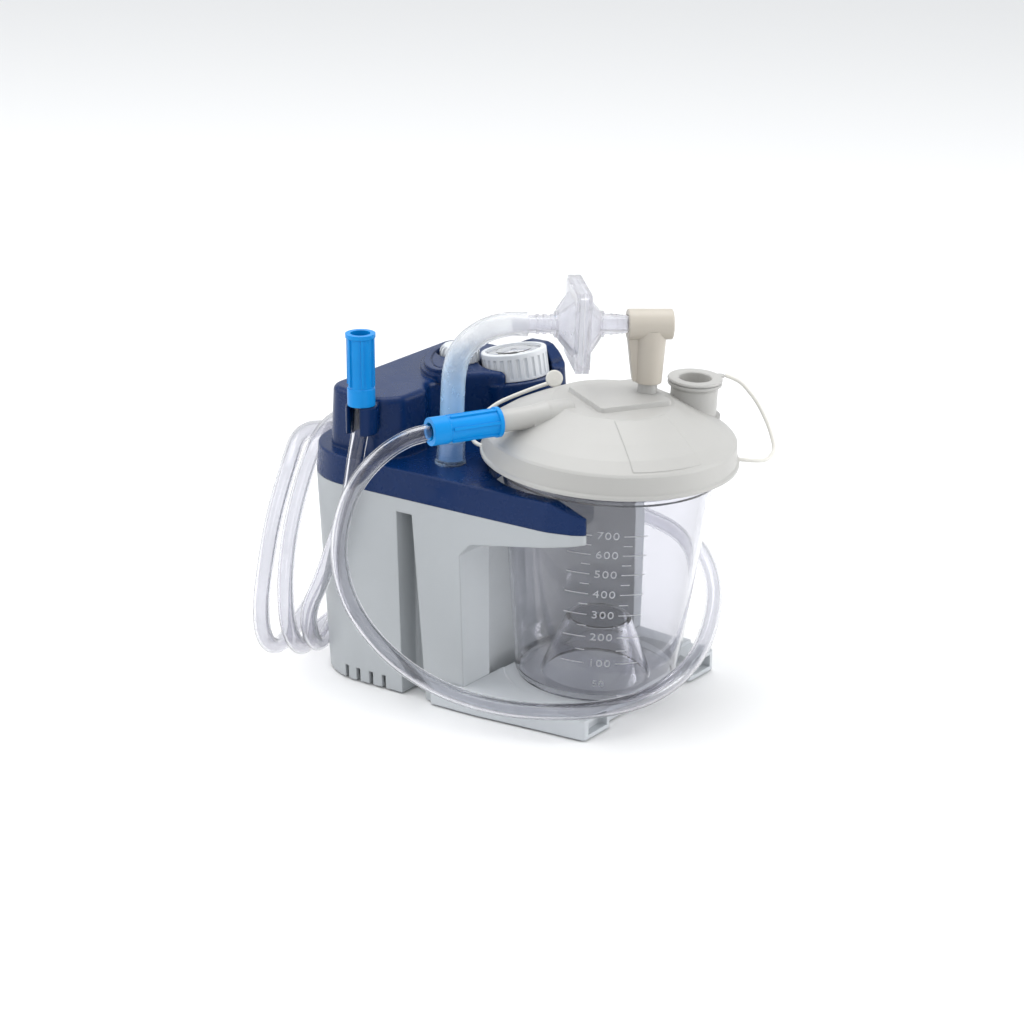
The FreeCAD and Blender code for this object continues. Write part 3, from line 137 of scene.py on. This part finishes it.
def plastic(name, color, rough=0.42, grain=1500.0, grain_h=0.00004, peel=0.0, vary=0.06, spec=0.5, coat=0.0, trans=0.0, sss=0.0, metal=0.0, scuff=0.5, bevel=0.0):
    m = bpy.data.materials.new(name)
    nt, N, L, p = nodes_of(m)
    tc = N.new("ShaderNodeTexCoord").outputs["Object"]
    n1 = noise(nt, tc, 14.0, 5.0, 0.6)
    L.new(ramp(nt, n1, shade(color, 1 - vary), shade(color, 1 + vary)), p.inputs["Base Color"])
    n2 = noise(nt, tc, 60.0, 6.0, 0.65, 0.4)
    n3 = noise(nt, tc, 420.0, 4.0, 0.6)
    mx = N.new("ShaderNodeMath")
    mx.operation = "MULTIPLY_ADD"
    L.new(n3, mx.inputs[0])
    mx.inputs[1].default_value = 0.35 * scuff
    L.new(n2, mx.inputs[2])
    L.new(rangemap(nt, mx.outputs[0], rough - 0.05, rough + 0.08, 0.35, 0.95), p.inputs["Roughness"])
    edge = None
    if bevel:
        be = N.new("ShaderNodeBevel")
        be.samples = 4
        be.inputs["Radius"].default_value = bevel
        edge = be.outputs["Normal"]
    nrm = bump(nt, noise(nt, tc, grain, 2.0, 0.5), 0.55, grain_h, edge)
    if peel:
        nrm = bump(nt, noise(nt, tc, 130.0, 1.5, 0.4), 0.4, peel, nrm)
    L.new(nrm, p.inputs["Normal"])
    p.inputs["Specular IOR Level"].default_value = spec
    p.inputs["Coat Weight"].default_value = coat
    p.inputs["Coat Roughness"].default_value = 0.12
    p.inputs["Transmission Weight"].default_value = trans
    p.inputs["Metallic"].default_value = metal
    if sss:
        p.inputs["Subsurface Weight"].default_value = sss
        p.inputs["Subsurface Radius"].default_value = (0.004, 0.004, 0.0045)
        p.inputs["Subsurface Scale"].default_value = 1.0
    return m


def clear(name, color, rough=0.05, ior=1.45, flow=90.0, flow_h=0.00005, vary=0.03, trans=1.0, fog=0.04, painted_low_tint=None):
    m = bpy.data.materials.new(name)
    nt, N, L, p = nodes_of(m)
    tc = N.new("ShaderNodeTexCoord").outputs["Object"]
    n1 = noise(nt, tc, 22.0, 4.0, 0.6)
    tint = ramp(nt, n1, shade(color, 1 - vary), shade(color, 1 + vary))
    if painted_low_tint:
        # a cooler tint below, changing over the given heights: painted colour of the navy cover showing through, not
        # the material's own tint
        sep = N.new("ShaderNodeSeparateXYZ")
        L.new(tc, sep.inputs[0])
        mix = N.new("ShaderNodeMix")
        mix.data_type = "RGBA"
        L.new(rangemap(nt, sep.outputs["Z"], 0.0, 1.0, painted_low_tint[1], painted_low_tint[2]), mix.inputs["Factor"])
        L.new(rangemap(nt, sep.outputs["Z"], trans - 0.28, trans, painted_low_tint[1], painted_low_tint[2]), p.inputs["Transmission Weight"])
        mix.inputs["A"].default_value = (*painted_low_tint[0], 1)
        L.new(tint, mix.inputs["B"])
        tint = mix.outputs["Result"]
    L.new(tint, p.inputs["Base Color"])
    n2 = noise(nt, tc, 75.0, 5.0, 0.7, 0.6)
    L.new(rangemap(nt, n2, rough, rough + fog), p.inputs["Roughness"])
    L.new(bump(nt, noise(nt, tc, flow, 2.0, 0.45), 0.35, flow_h), p.inputs["Normal"])
    if not painted_low_tint:
        p.inputs["Transmission Weight"].default_value = trans
    p.inputs["IOR"].default_value = ior
    return m


def metal(name, color, rough=0.3, brush=(1.0, 1.0, 60.0)):
    m = bpy.data.materials.new(name)
    nt, N, L, p = nodes_of(m)
    tc = N.new("ShaderNodeTexCoord").outputs["Object"]
    mp = N.new("ShaderNodeMapping")
    mp.inputs["Scale"].default_value = brush
    L.new(tc, mp.inputs["Vector"])
    n1 = noise(nt, mp.outputs["Vector"], 60.0, 5.0, 0.6)
    L.new(ramp(nt, n1, shade(color, 0.88), shade(color, 1.06)), p.inputs["Base Color"])
    L.new(rangemap(nt, n1, rough - 0.07, rough + 0.1), p.inputs["Roughness"])
    L.new(bump(nt, n1, 0.2, 0.00003), p.inputs["Normal"])
    p.inputs["Metallic"].default_value = 1.0
    return m


def lin(r, g, b):
    return tuple(((v / 255.0) / 12.92 if v <= 10 else (((v / 255.0) + 0.055) / 1.055) ** 2.4) for v in (r, g, b))


MAT = {
    "grey": plastic("housing_grey", lin(165, 169, 172), 0.46, 1500, 0.00005, vary=0.025, bevel=0.0012),
    "navy": plastic("cover_navy", lin(1, 35, 80), 0.27, 1900, 0.00002, peel=0.00003, vary=0.06, spec=0.2, bevel=0.0018),
    "tray": plastic("tray_grey", lin(184, 188, 192), 0.46, 1500, 0.00005, vary=0.025, bevel=0.001),
    "bezel": plastic("bezel_grey", lin(203, 206, 210), 0.4, 1700, 0.00003, vary=0.03, bevel=0.0006),
    "offwhite": plastic("lid_offwhite", lin(171, 170, 167), 0.4, 1300, 0.00002, peel=0.00002, vary=0.02, sss=0.1, bevel=0.0009),
    "beige": plastic("elbow_beige", lin(180, 173, 162), 0.38, 1300, 0.00002, peel=0.00003, vary=0.025, sss=0.15, bevel=0.0008),
    "blue": plastic("connector_blue", lin(0, 132, 206), 0.33, 1100, 0.00003, vary=0.07, spec=0.22, bevel=0.0004),
    "black": plastic("black_plastic", lin(24, 24, 26), 0.4, 1500, 0.00005, vary=0.1),
    "rubber": plastic("foot_rubber", lin(34, 34, 35), 0.7, 900, 0.00008, vary=0.12),
    "strap": plastic("strap_soft", lin(205, 203, 196), 0.45, 1100, 0.00003, vary=0.03, sss=0.2),
    "cage": plastic("cage_grey", lin(170, 174, 178), 0.4, 1300, 0.00003, vary=0.03),
    "float": plastic("float_pale", lin(200, 206, 212), 0.35, 1300, 0.00002, vary=0.03, sss=0.2),
    "dial": plastic("dial_white", lin(214, 214, 214), 0.5, 900, 0.00001, vary=0.015),
    "ink": plastic("dial_ink", lin(28, 28, 30), 0.5, 900, 0.00001, vary=0.1),
    "ink_red": plastic("dial_red", lin(176, 40, 44), 0.5, 900, 0.00001, vary=0.08),
    "ink_blue": plastic("dial_blue", lin(40, 70, 150), 0.5, 900, 0.00001, vary=0.08),
    "barb": clear("inlet_smoke", lin(196, 216, 238), 0.12, 1.45, 160, 0.00005, trans=0.9, fog=0.08),
    "can": clear("canister_clear", lin(236, 236, 240), 0.015, 1.46, 40, 0.00003, vary=0.012, fog=0.025),
    "filter": clear("filter_clear", lin(232, 232, 237), 0.16, 1.36, 160, 0.00005, trans=0.86, fog=0.14),
    "membrane": plastic("membrane_paper", lin(226, 227, 226), 0.8, 700, 0.00012, vary=0.05),
    # the hose's bluish lower tint is painted see-through colour of the navy cover behind it
    "hose": clear("hose_milky", lin(238, 239, 241), 0.2, 1.36, 60, 0.00006, trans=0.84, fog=0.1, painted_low_tint=(lin(168, 206, 236), 0.165, 0.205)),
    "tube": clear("tube_clear", lin(230, 230, 234), 0.05, 1.38, 50, 0.00003, fog=0.05),
    "marks": clear("graduation_frost", lin(228, 229, 233), 0.4, 1.35, 900, 0.00004, trans=0.78, fog=0.2),
    "lens": clear("gauge_lens_clear", lin(250, 251, 253), 0.01, 1.3, 20, 0.00001, fog=0.015),
    "steel": metal("plated_steel", (0.62, 0.62, 0.64), 0.32),
    "alu": metal("cast_aluminium", (0.68, 0.69, 0.70), 0.42, (1, 1, 1)),
    "brass": metal("turned_brass", (0.72, 0.54, 0.26), 0.28),
    "chrome": metal("bearing_steel", (0.82, 0.82, 0.84), 0.12, (1, 1, 1)),
    "battery": plastic("battery_wrap", lin(40, 66, 140), 0.3, 700, 0.00003, vary=0.08),
    "board": plastic("board_green", lin(24, 96, 52), 0.35, 500, 0.00008, vary=0.12),
}
NODE_MAT = {
    "lower_housing": "grey", "base_tray": "tray", "rubber_feet": "rubber", "upper_cover": "navy", "tube_clip": "navy",
    "gauge_bezel": "bezel", "gauge_case": "brass", "gauge_dial": "dial", "gauge_lens": "lens", "gauge_needle": "ink",
    "regulator_knob": "bezel", "regulator_stem": "brass", "regulator_valve": "brass", "inlet_barb": "barb",
    "switch_frame": "black", "switch_rocker": "black", "power_inlet": "black", "motor_can": "steel", "motor_shaft": "steel",
    "cooling_fan": "black", "eccentric": "steel", "crank_bearing": "chrome", "pump_crankcase": "alu", "connecting_rod": "alu",
    "pump_piston": "black", "pump_cylinder": "alu", "valve_plate": "alu", "pump_head": "alu", "pump_bracket": "steel",
    "pump_mounts": "rubber", "pump_screws": "steel", "battery_pack": "battery", "circuit_board": "board",
    "exhaust_muffler": "black", "cover_screws": "steel", "inlet_hose": "strap", "canister": "can", "lid": "offwhite",
    "lid_gasket": "strap", "float_cage": "cage", "float_ball": "float", "spout_plug": "offwhite", "spout_strap": "strap",
    "port_strap": "strap", "port_stopper": "strap", "elbow": "beige", "filter_hose_shell": "filter",
    "filter_elbow_shell": "filter", "filter_membrane": "membrane", "suction_hose": "hose", "patient_connector": "blue",
    "free_connector": "blue", "patient_tube": "tube",
}
for n, o in CADN.items():
    o.data.materials.clear()
    o.data.materials.append(MAT[NODE_MAT[n]])


# ------------------------------------------------------------- small tools
def link(o):
    scene.collection.objects.link(o)
    return o


def mesh_obj(name, verts, faces, mat, smooth=True):
    me = bpy.data.meshes.new(name)
    me.from_pydata([tuple(v) for v in verts], [], faces)
    me.update()
    if smooth:
        me.polygons.foreach_set("use_smooth", [True] * len(me.polygons))
    o = link(bpy.data.objects.new(name, me))
    me.materials.append(MAT[mat])
    return o


def spline_points(pts, res=10):
    """points along the route's own NURBS line"""
    cu = bpy.data.curves.new("route", "CURVE")
    cu.dimensions = "3D"
    sp = cu.splines.new("NURBS")
    sp.points.add(len(pts) - 1)
    for q, p in zip(sp.points, pts):
        q.co = (*p, 1.0)
    sp.order_u = 3
    sp.use_endpoint_u = True
    sp.resolution_u = res
    o = link(bpy.data.objects.new("route", cu))
    bpy.context.view_layer.update()
    me = bpy.data.meshes.new_from_object(o)
    out = [v.co.copy() for v in me.vertices]
    bpy.data.objects.remove(o)
    bpy.data.meshes.remove(me)
    clean = [out[0]]
    for p in out[1:]:
        if (p - clean[-1]).length > 1e-6:
            clean.append(p)
    return clean


def frames(P):
    """tangent, normal and binormal carried along the points without twist"""
    T = []
    for i in range(len(P)):
        a, b = P[max(0, i - 1)], P[min(len(P) - 1, i + 1)]
        T.append((b - a).normalized())
    n = Vector((0, 0, 1)) if abs(T[0].z) < 0.9 else Vector((1, 0, 0))
    n = (n - T[0] * n.dot(T[0])).normalized()
    F = []
    for t in T:
        n = (n - t * n.dot(t)).normalized()
        F.append((t, n, t.cross(n)))
    return F


def tube_mesh(name, P, ro, ri, mat, caps, seg=24):
    """hollow tube along the points: outside wall, inside wall and the end rings named in caps"""
    F = frames(P)
    v, f = [], []
    for rad in (ro, ri):
        for p, (t, n, b) in zip(P, F):
            for k in range(seg):
                a = 2 * math.pi * k / seg
                v.append(p + (n * math.cos(a) + b * math.sin(a)) * rad)
    m = len(P)
    for i in range(m - 1):
        for k in range(seg):
            k2 = (k + 1) % seg
            a, b_, c, d = i * seg + k, i * seg + k2, (i + 1) * seg + k2, (i + 1) * seg + k
            f.append((a, b_, c, d))
            o = m * seg
            f.append((o + d, o + c, o + b_, o + a))
    for i, flip in ((0, False), (m - 1, True)):
        if i not in [c % m for c in caps]:
            continue
        for k in range(seg):
            k2 = (k + 1) % seg
            q = (i * seg + k, m * seg + i * seg + k, m * seg + i * seg + k2, i * seg + k2)
            f.append(q[::-1] if flip else q)
    return mesh_obj(name, v, f, mat)


# -------------------------------------------------------------- patient tube
TUBE = [
    (-0.0818, -0.0051, 0.1681), (-0.0945, 0.0016, 0.1681), (-0.1048, 0.0101, 0.1647), (-0.1154, 0.0194, 0.1552), (-0.1210, 0.0298, 0.1396),
    (-0.1167, 0.0411, 0.1195), (-0.1097, 0.0500, 0.0997), (-0.1044, 0.0528, 0.0803), (-0.1008, 0.0492, 0.0630), (-0.0989, 0.0383, 0.0485),
    (-0.0959, 0.0237, 0.0357), (-0.0918, 0.0058, 0.0257), (-0.0866, -0.0152, 0.0194), (-0.0797, -0.0381, 0.0166), (-0.0725, -0.0599, 0.0176),
    (-0.0563, -0.0794, 0.0175), (-0.0345, -0.0960, 0.0199), (-0.0047, -0.0984, 0.0223), (0.0236, -0.0950, 0.0275), (0.0479, -0.0871, 0.0361),
    (0.0694, -0.0762, 0.0450), (0.0855, -0.0621, 0.0542), (0.0964, -0.0462, 0.0619), (0.1020, -0.0239, 0.0679), (0.0851, 0.0222, 0.0812),
    (0.0828, 0.0581, 0.0820), (0.0808, 0.0889, 0.0840), (0.0751, 0.1168, 0.0897), (0.0580, 0.1390, 0.1004), (0.0297, 0.1452, 0.1046),
    (-0.0007, 0.1426, 0.1213), (-0.0301, 0.1411, 0.1273), (-0.0548, 0.1292, 0.1157), (-0.0700, 0.1285, 0.0888), (-0.0812, 0.1257, 0.0643),
    (-0.0868, 0.1253, 0.0428), (-0.0807, 0.1297, 0.0202), (-0.0630, 0.1362, 0.0057), (-0.0389, 0.1445, 0.0049), (-0.0111, 0.1557, 0.0099),
    (0.0299, 0.1551, 0.0375), (0.0499, 0.1534, 0.0653), (0.0493, 0.1559, 0.0925), (0.0310, 0.1479, 0.1195), (0.0003, 0.1357, 0.1300),
    (-0.0286, 0.1286, 0.1267), (-0.0487, 0.1251, 0.1045), (-0.0614, 0.1240, 0.0788), (-0.0786, 0.1143, 0.0561), (-0.0772, 0.1140, 0.0260),
    (-0.0559, 0.1220, 0.0049), (-0.0217, 0.1377, 0.0054), (0.0092, 0.1407, 0.0080), (0.0368, 0.1416, 0.0221), (0.0567, 0.1401, 0.0454),
    (0.0627, 0.1357, 0.0754), (0.0497, 0.1310, 0.1022), (0.0219, 0.1296, 0.1132), (-0.0045, 0.1277, 0.1017), (-0.0147, 0.1263, 0.0749),
    (-0.0045, 0.1279, 0.0480), (-0.0109, 0.1269, 0.0244), (-0.0300, 0.1218, 0.0099), (-0.0507, 0.1139, 0.0093), (-0.0675, 0.1054, 0.0210),
    (-0.0760, 0.1005, 0.0405), (-0.0737, 0.0913, 0.0603), (-0.0771, 0.0797, 0.0841), (-0.0765, 0.0718, 0.1047), (-0.0728, 0.0699, 0.1180),
    (-0.0732, 0.0666, 0.1358), (-0.0690, 0.0651, 0.1540), (-0.0690, 0.0651, 0.1780),
]
line = spline_points(TUBE, 9)
cum = [0.0]
for a, b in zip(line, line[1:]):
    cum.append(cum[-1] + (b - a).length)
cut = next(i for i, s in enumerate(cum) if s > 0.085)
end_line, main_line = line[: cut + 1], line[cut:]
TUBE_R, TUBE_RI = 0.0047, 0.0032
tube_end = tube_mesh("patient_tube_end", end_line, TUBE_R, TUBE_RI, "tube", (0,))
tube_main = tube_mesh("patient_tube_run", main_line, TUBE_R, TUBE_RI, "tube", (-1,))
for o in (tube_end, tube_main):
    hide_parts("patient_tube")


def blend_by_length(obj, fade):
    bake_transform(obj)
    n = len(fade)
    w = []
    for wall in range(2):
        for s in fade:
            t = max(0.0, min(1.0, s))
            w += [t * t * (3 - 2 * t)] * 24


blend_by_length(tube_end, [1.15 - 1.2 * s / cum[cut] for s in cum[: cut + 1]])
blend_by_length(tube_main, [1.0 - (s - cum[cut]) / 0.27 for s in cum[cut:]])
print("TUBE LENGTH", round(cum[-1], 4), "main", round(cum[-1] - cum[cut], 4))

# ------------------------------------------------ moulded and printed marks
def text_mesh(txt, size):
    """2-D outline of a short number, centred on its own origin, as points and faces"""
    cu = bpy.data.curves.new("txt", "FONT")
    cu.body = txt
    cu.size = size
    cu.align_x, cu.align_y = "CENTER", "CENTER"
    cu.space_character = 1.12
    cu.resolution_u = 3
    o = link(bpy.data.objects.new("txt", cu))
    bpy.context.view_layer.update()
    me = bpy.data.meshes.new_from_object(o)
    pts = [tuple(v.co) for v in me.vertices]
    fcs = [tuple(q.vertices) for q in me.polygons]
    bpy.data.objects.remove(o)
    bpy.data.meshes.remove(me)
    return pts, fcs


def raised(name, groups, place, thick, mat):
    """flat outlines given a thickness and laid on a surface by place(x, y, h)"""
    v, f = [], []
    for pts, fcs in groups:
        n0 = len(v)
        k = len(pts)
        v += [place(x, y, thick) for x, y, *_ in pts] + [place(x, y, -0.00002) for x, y, *_ in pts]
        count = {}
        for q in fcs:
            f.append(tuple(n0 + i for i in q))
            f.append(tuple(n0 + k + i for i in q[::-1]))
            for a, b in zip(q, q[1:] + q[:1]):
                count[(a, b)] = count.get((a, b), 0) + 1
        for a, b in count:
            if (b, a) not in count:
                f.append((n0 + b, n0 + a, n0 + k + a, n0 + k + b))
    return mesh_obj(name, v, f, mat, smooth=False)


def bar(x0, x1, y, h, n=8):
    pts, fcs = [], []
    for i in range(n + 1):
        x = x0 + (x1 - x0) * i / n
        pts += [(x, y - h / 2), (x, y + h / 2)]
    for i in range(n):
        fcs.append((2 * i, 2 * i + 2, 2 * i + 3, 2 * i + 1))
    return pts, fcs


CAN_R0, CAN_RT, CAN_Z0, CAN_ZT = 0.0446, 0.0576, 0.012, 0.131
FACE = math.radians(215.0)


def on_wall(x, y, h):
    """x along the wall and y up it, on the outside of the leaning canister"""
    r = CAN_R0 + (CAN_RT - CAN_R0) * (y - CAN_Z0) / (CAN_ZT - CAN_Z0) + h
    a = FACE + x / r
    return can_pt(r * math.cos(a), r * math.sin(a), y)


marks = []
MARK_Z = {50: 0.0245, 100: 0.0370, 200: 0.0530, 300: 0.0665, 400: 0.0790, 500: 0.0910, 600: 0.1026, 700: 0.1140}
for ml, z in MARK_Z.items():
    pts, fcs = text_mesh(str(ml), 0.0062 if ml >= 100 else 0.0052)
    marks.append(([(x * 1.25, y + z) for x, y, *_ in pts], fcs))
    if ml >= 100:
        marks.append(bar(0.0085, 0.0215, z, 0.00045))
        marks.append(bar(-0.0215, -0.0085, z, 0.00045))
for a, b in ((100, 200), (200, 300), (300, 400), (400, 500), (500, 600), (600, 700)):
    z = (MARK_Z[a] + MARK_Z[b]) / 2
    marks.append(bar(0.0085, 0.0135, z, 0.0004))
    marks.append(bar(-0.0135, -0.0085, z, 0.0004))
grad = raised("canister_graduations", marks, on_wall, 0.00032, "marks")
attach(grad, "canister")

# dial: scale, numbers and coloured band on the gauge face
GC, GX = Vector((0.042389, 0.041571, 0.159)), Vector((0.0, 0.147809, 0.989016))
DIAL_H = 0.0112
gx = Vector((0.5835, -0.8121, 0.0)).normalized()
gx = (gx - GX * gx.dot(GX)).normalized()
gy = GX.cross(gx)


def on_dial(x, y, h):
    return GC + GX * (DIAL_H + 0.00005 + h) + gx * x + gy * y


def spoke(a, r0, r1, w):
    c, s_ = math.cos(a), math.sin(a)
    n = (-s_, c)
    return [(c * r0 - n[0] * w, s_ * r0 - n[1] * w), (c * r1 - n[0] * w, s_ * r1 - n[1] * w), (c * r1 + n[0] * w, s_ * r1 + n[1] * w), (c * r0 + n[0] * w, s_ * r0 + n[1] * w)], [(0, 1, 2, 3)]


def arc_band(a0, a1, r0, r1, n=40):
    pts, fcs = [], []
    for i in range(n + 1):
        a = a0 + (a1 - a0) * i / n
        pts += [(math.cos(a) * r0, math.sin(a) * r0), (math.cos(a) * r1, math.sin(a) * r1)]
    for i in range(n):
        fcs.append((2 * i, 2 * i + 1, 2 * i + 3, 2 * i + 2))
    return pts, fcs


A0, A1 = math.radians(225), math.radians(-45)
ticks, nums = [], []
for i in range(31):
    a = A0 + (A1 - A0) * i / 30
    ticks.append(spoke(a, 0.0122 if i % 5 else 0.0112, 0.0138, 0.00010 if i % 5 else 0.00018))
for i in range(0, 31, 5):
    a = A0 + (A1 - A0) * i / 30
    pts, fcs = text_mesh(str(i * 2), 0.0030)
    nums.append(([(x + math.cos(a) * 0.0090, y + math.sin(a) * 0.0090) for x, y, *_ in pts], fcs))
dial_marks = raised("gauge_dial_scale", ticks + nums, on_dial, 0.00006, "ink")
band = raised("gauge_dial_band", [arc_band(A1, A0, 0.0142, 0.0147)], on_dial, 0.00005, "ink_blue")
red = raised("gauge_dial_limit", [arc_band(A1, A1 + math.radians(58), 0.0066, 0.0071)], on_dial, 0.00005, "ink_red")
for o in (dial_marks, band, red):
    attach(o, "base")

# clear pieces let the studio light through
for n in ("canister", "filter_hose_shell", "filter_elbow_shell", "suction_hose", "gauge_lens", "inlet_barb"):
    CADN[n].visible_shadow = False
for o in (tube_end, tube_main, grad):
    o.visible_shadow = False

# ---------------------------------------------------------- floor and light
fl = bpy.data.meshes.new("floor")
S = 6.0
fl.from_pydata([(-S, -S, 0), (S, -S, 0), (S, S, 0), (-S, S, 0)], [], [(0, 1, 2, 3)])
floor = link(bpy.data.objects.new("floor", fl))
fm = bpy.data.materials.new("floor_white")
nt, N_, L_, p_ = nodes_of(fm)
p_.inputs["Base Color"].default_value = (0.82, 0.82, 0.82, 1)
p_.inputs["Roughness"].default_value = 0.6
fl.materials.append(fm)

world = bpy.data.worlds.new("studio")
scene.world = world
world.use_nodes = True
world.node_tree.nodes["Background"].inputs["Color"].default_value = (0.96, 0.98, 1.0, 1)
world.node_tree.nodes["Background"].inputs["Strength"].default_value = 0.86


def area(name, loc, target, size, power, color=(1, 1, 1)):
    d = bpy.data.lights.new(name, "AREA")
    d.shape = "RECTANGLE"
    d.size, d.size_y = size
    d.energy = power
    d.color = color
    o = link(bpy.data.objects.new(name, d))
    o.location = loc
    o.rotation_mode = "QUATERNION"
    o.rotation_quaternion = (Vector(target) - Vector(loc)).to_track_quat("-Z", "Y")
    return o


area("key", (-1.1, -1.0, 1.3), (0, 0, 0.1), (1.1, 1.1), 4)
area("fill", (1.0, -1.5, 0.7), (0, 0, 0.12), (1.2, 1.0), 11)
area("top", (0.1, 0.2, 1.7), (0, 0, 0.12), (1.4, 1.4), 18)
area("bay", (0.75, -1.0, 0.22), (0.0, 0.0, 0.07), (0.4, 0.3), 2.2)
area("back", (-1.5, 2.1, 1.3), (-1.5, 2.1, 0.0), (2.4, 2.4), 42)
scene.view_settings.view_transform = "Standard"
scene.view_settings.exposure = 0.0
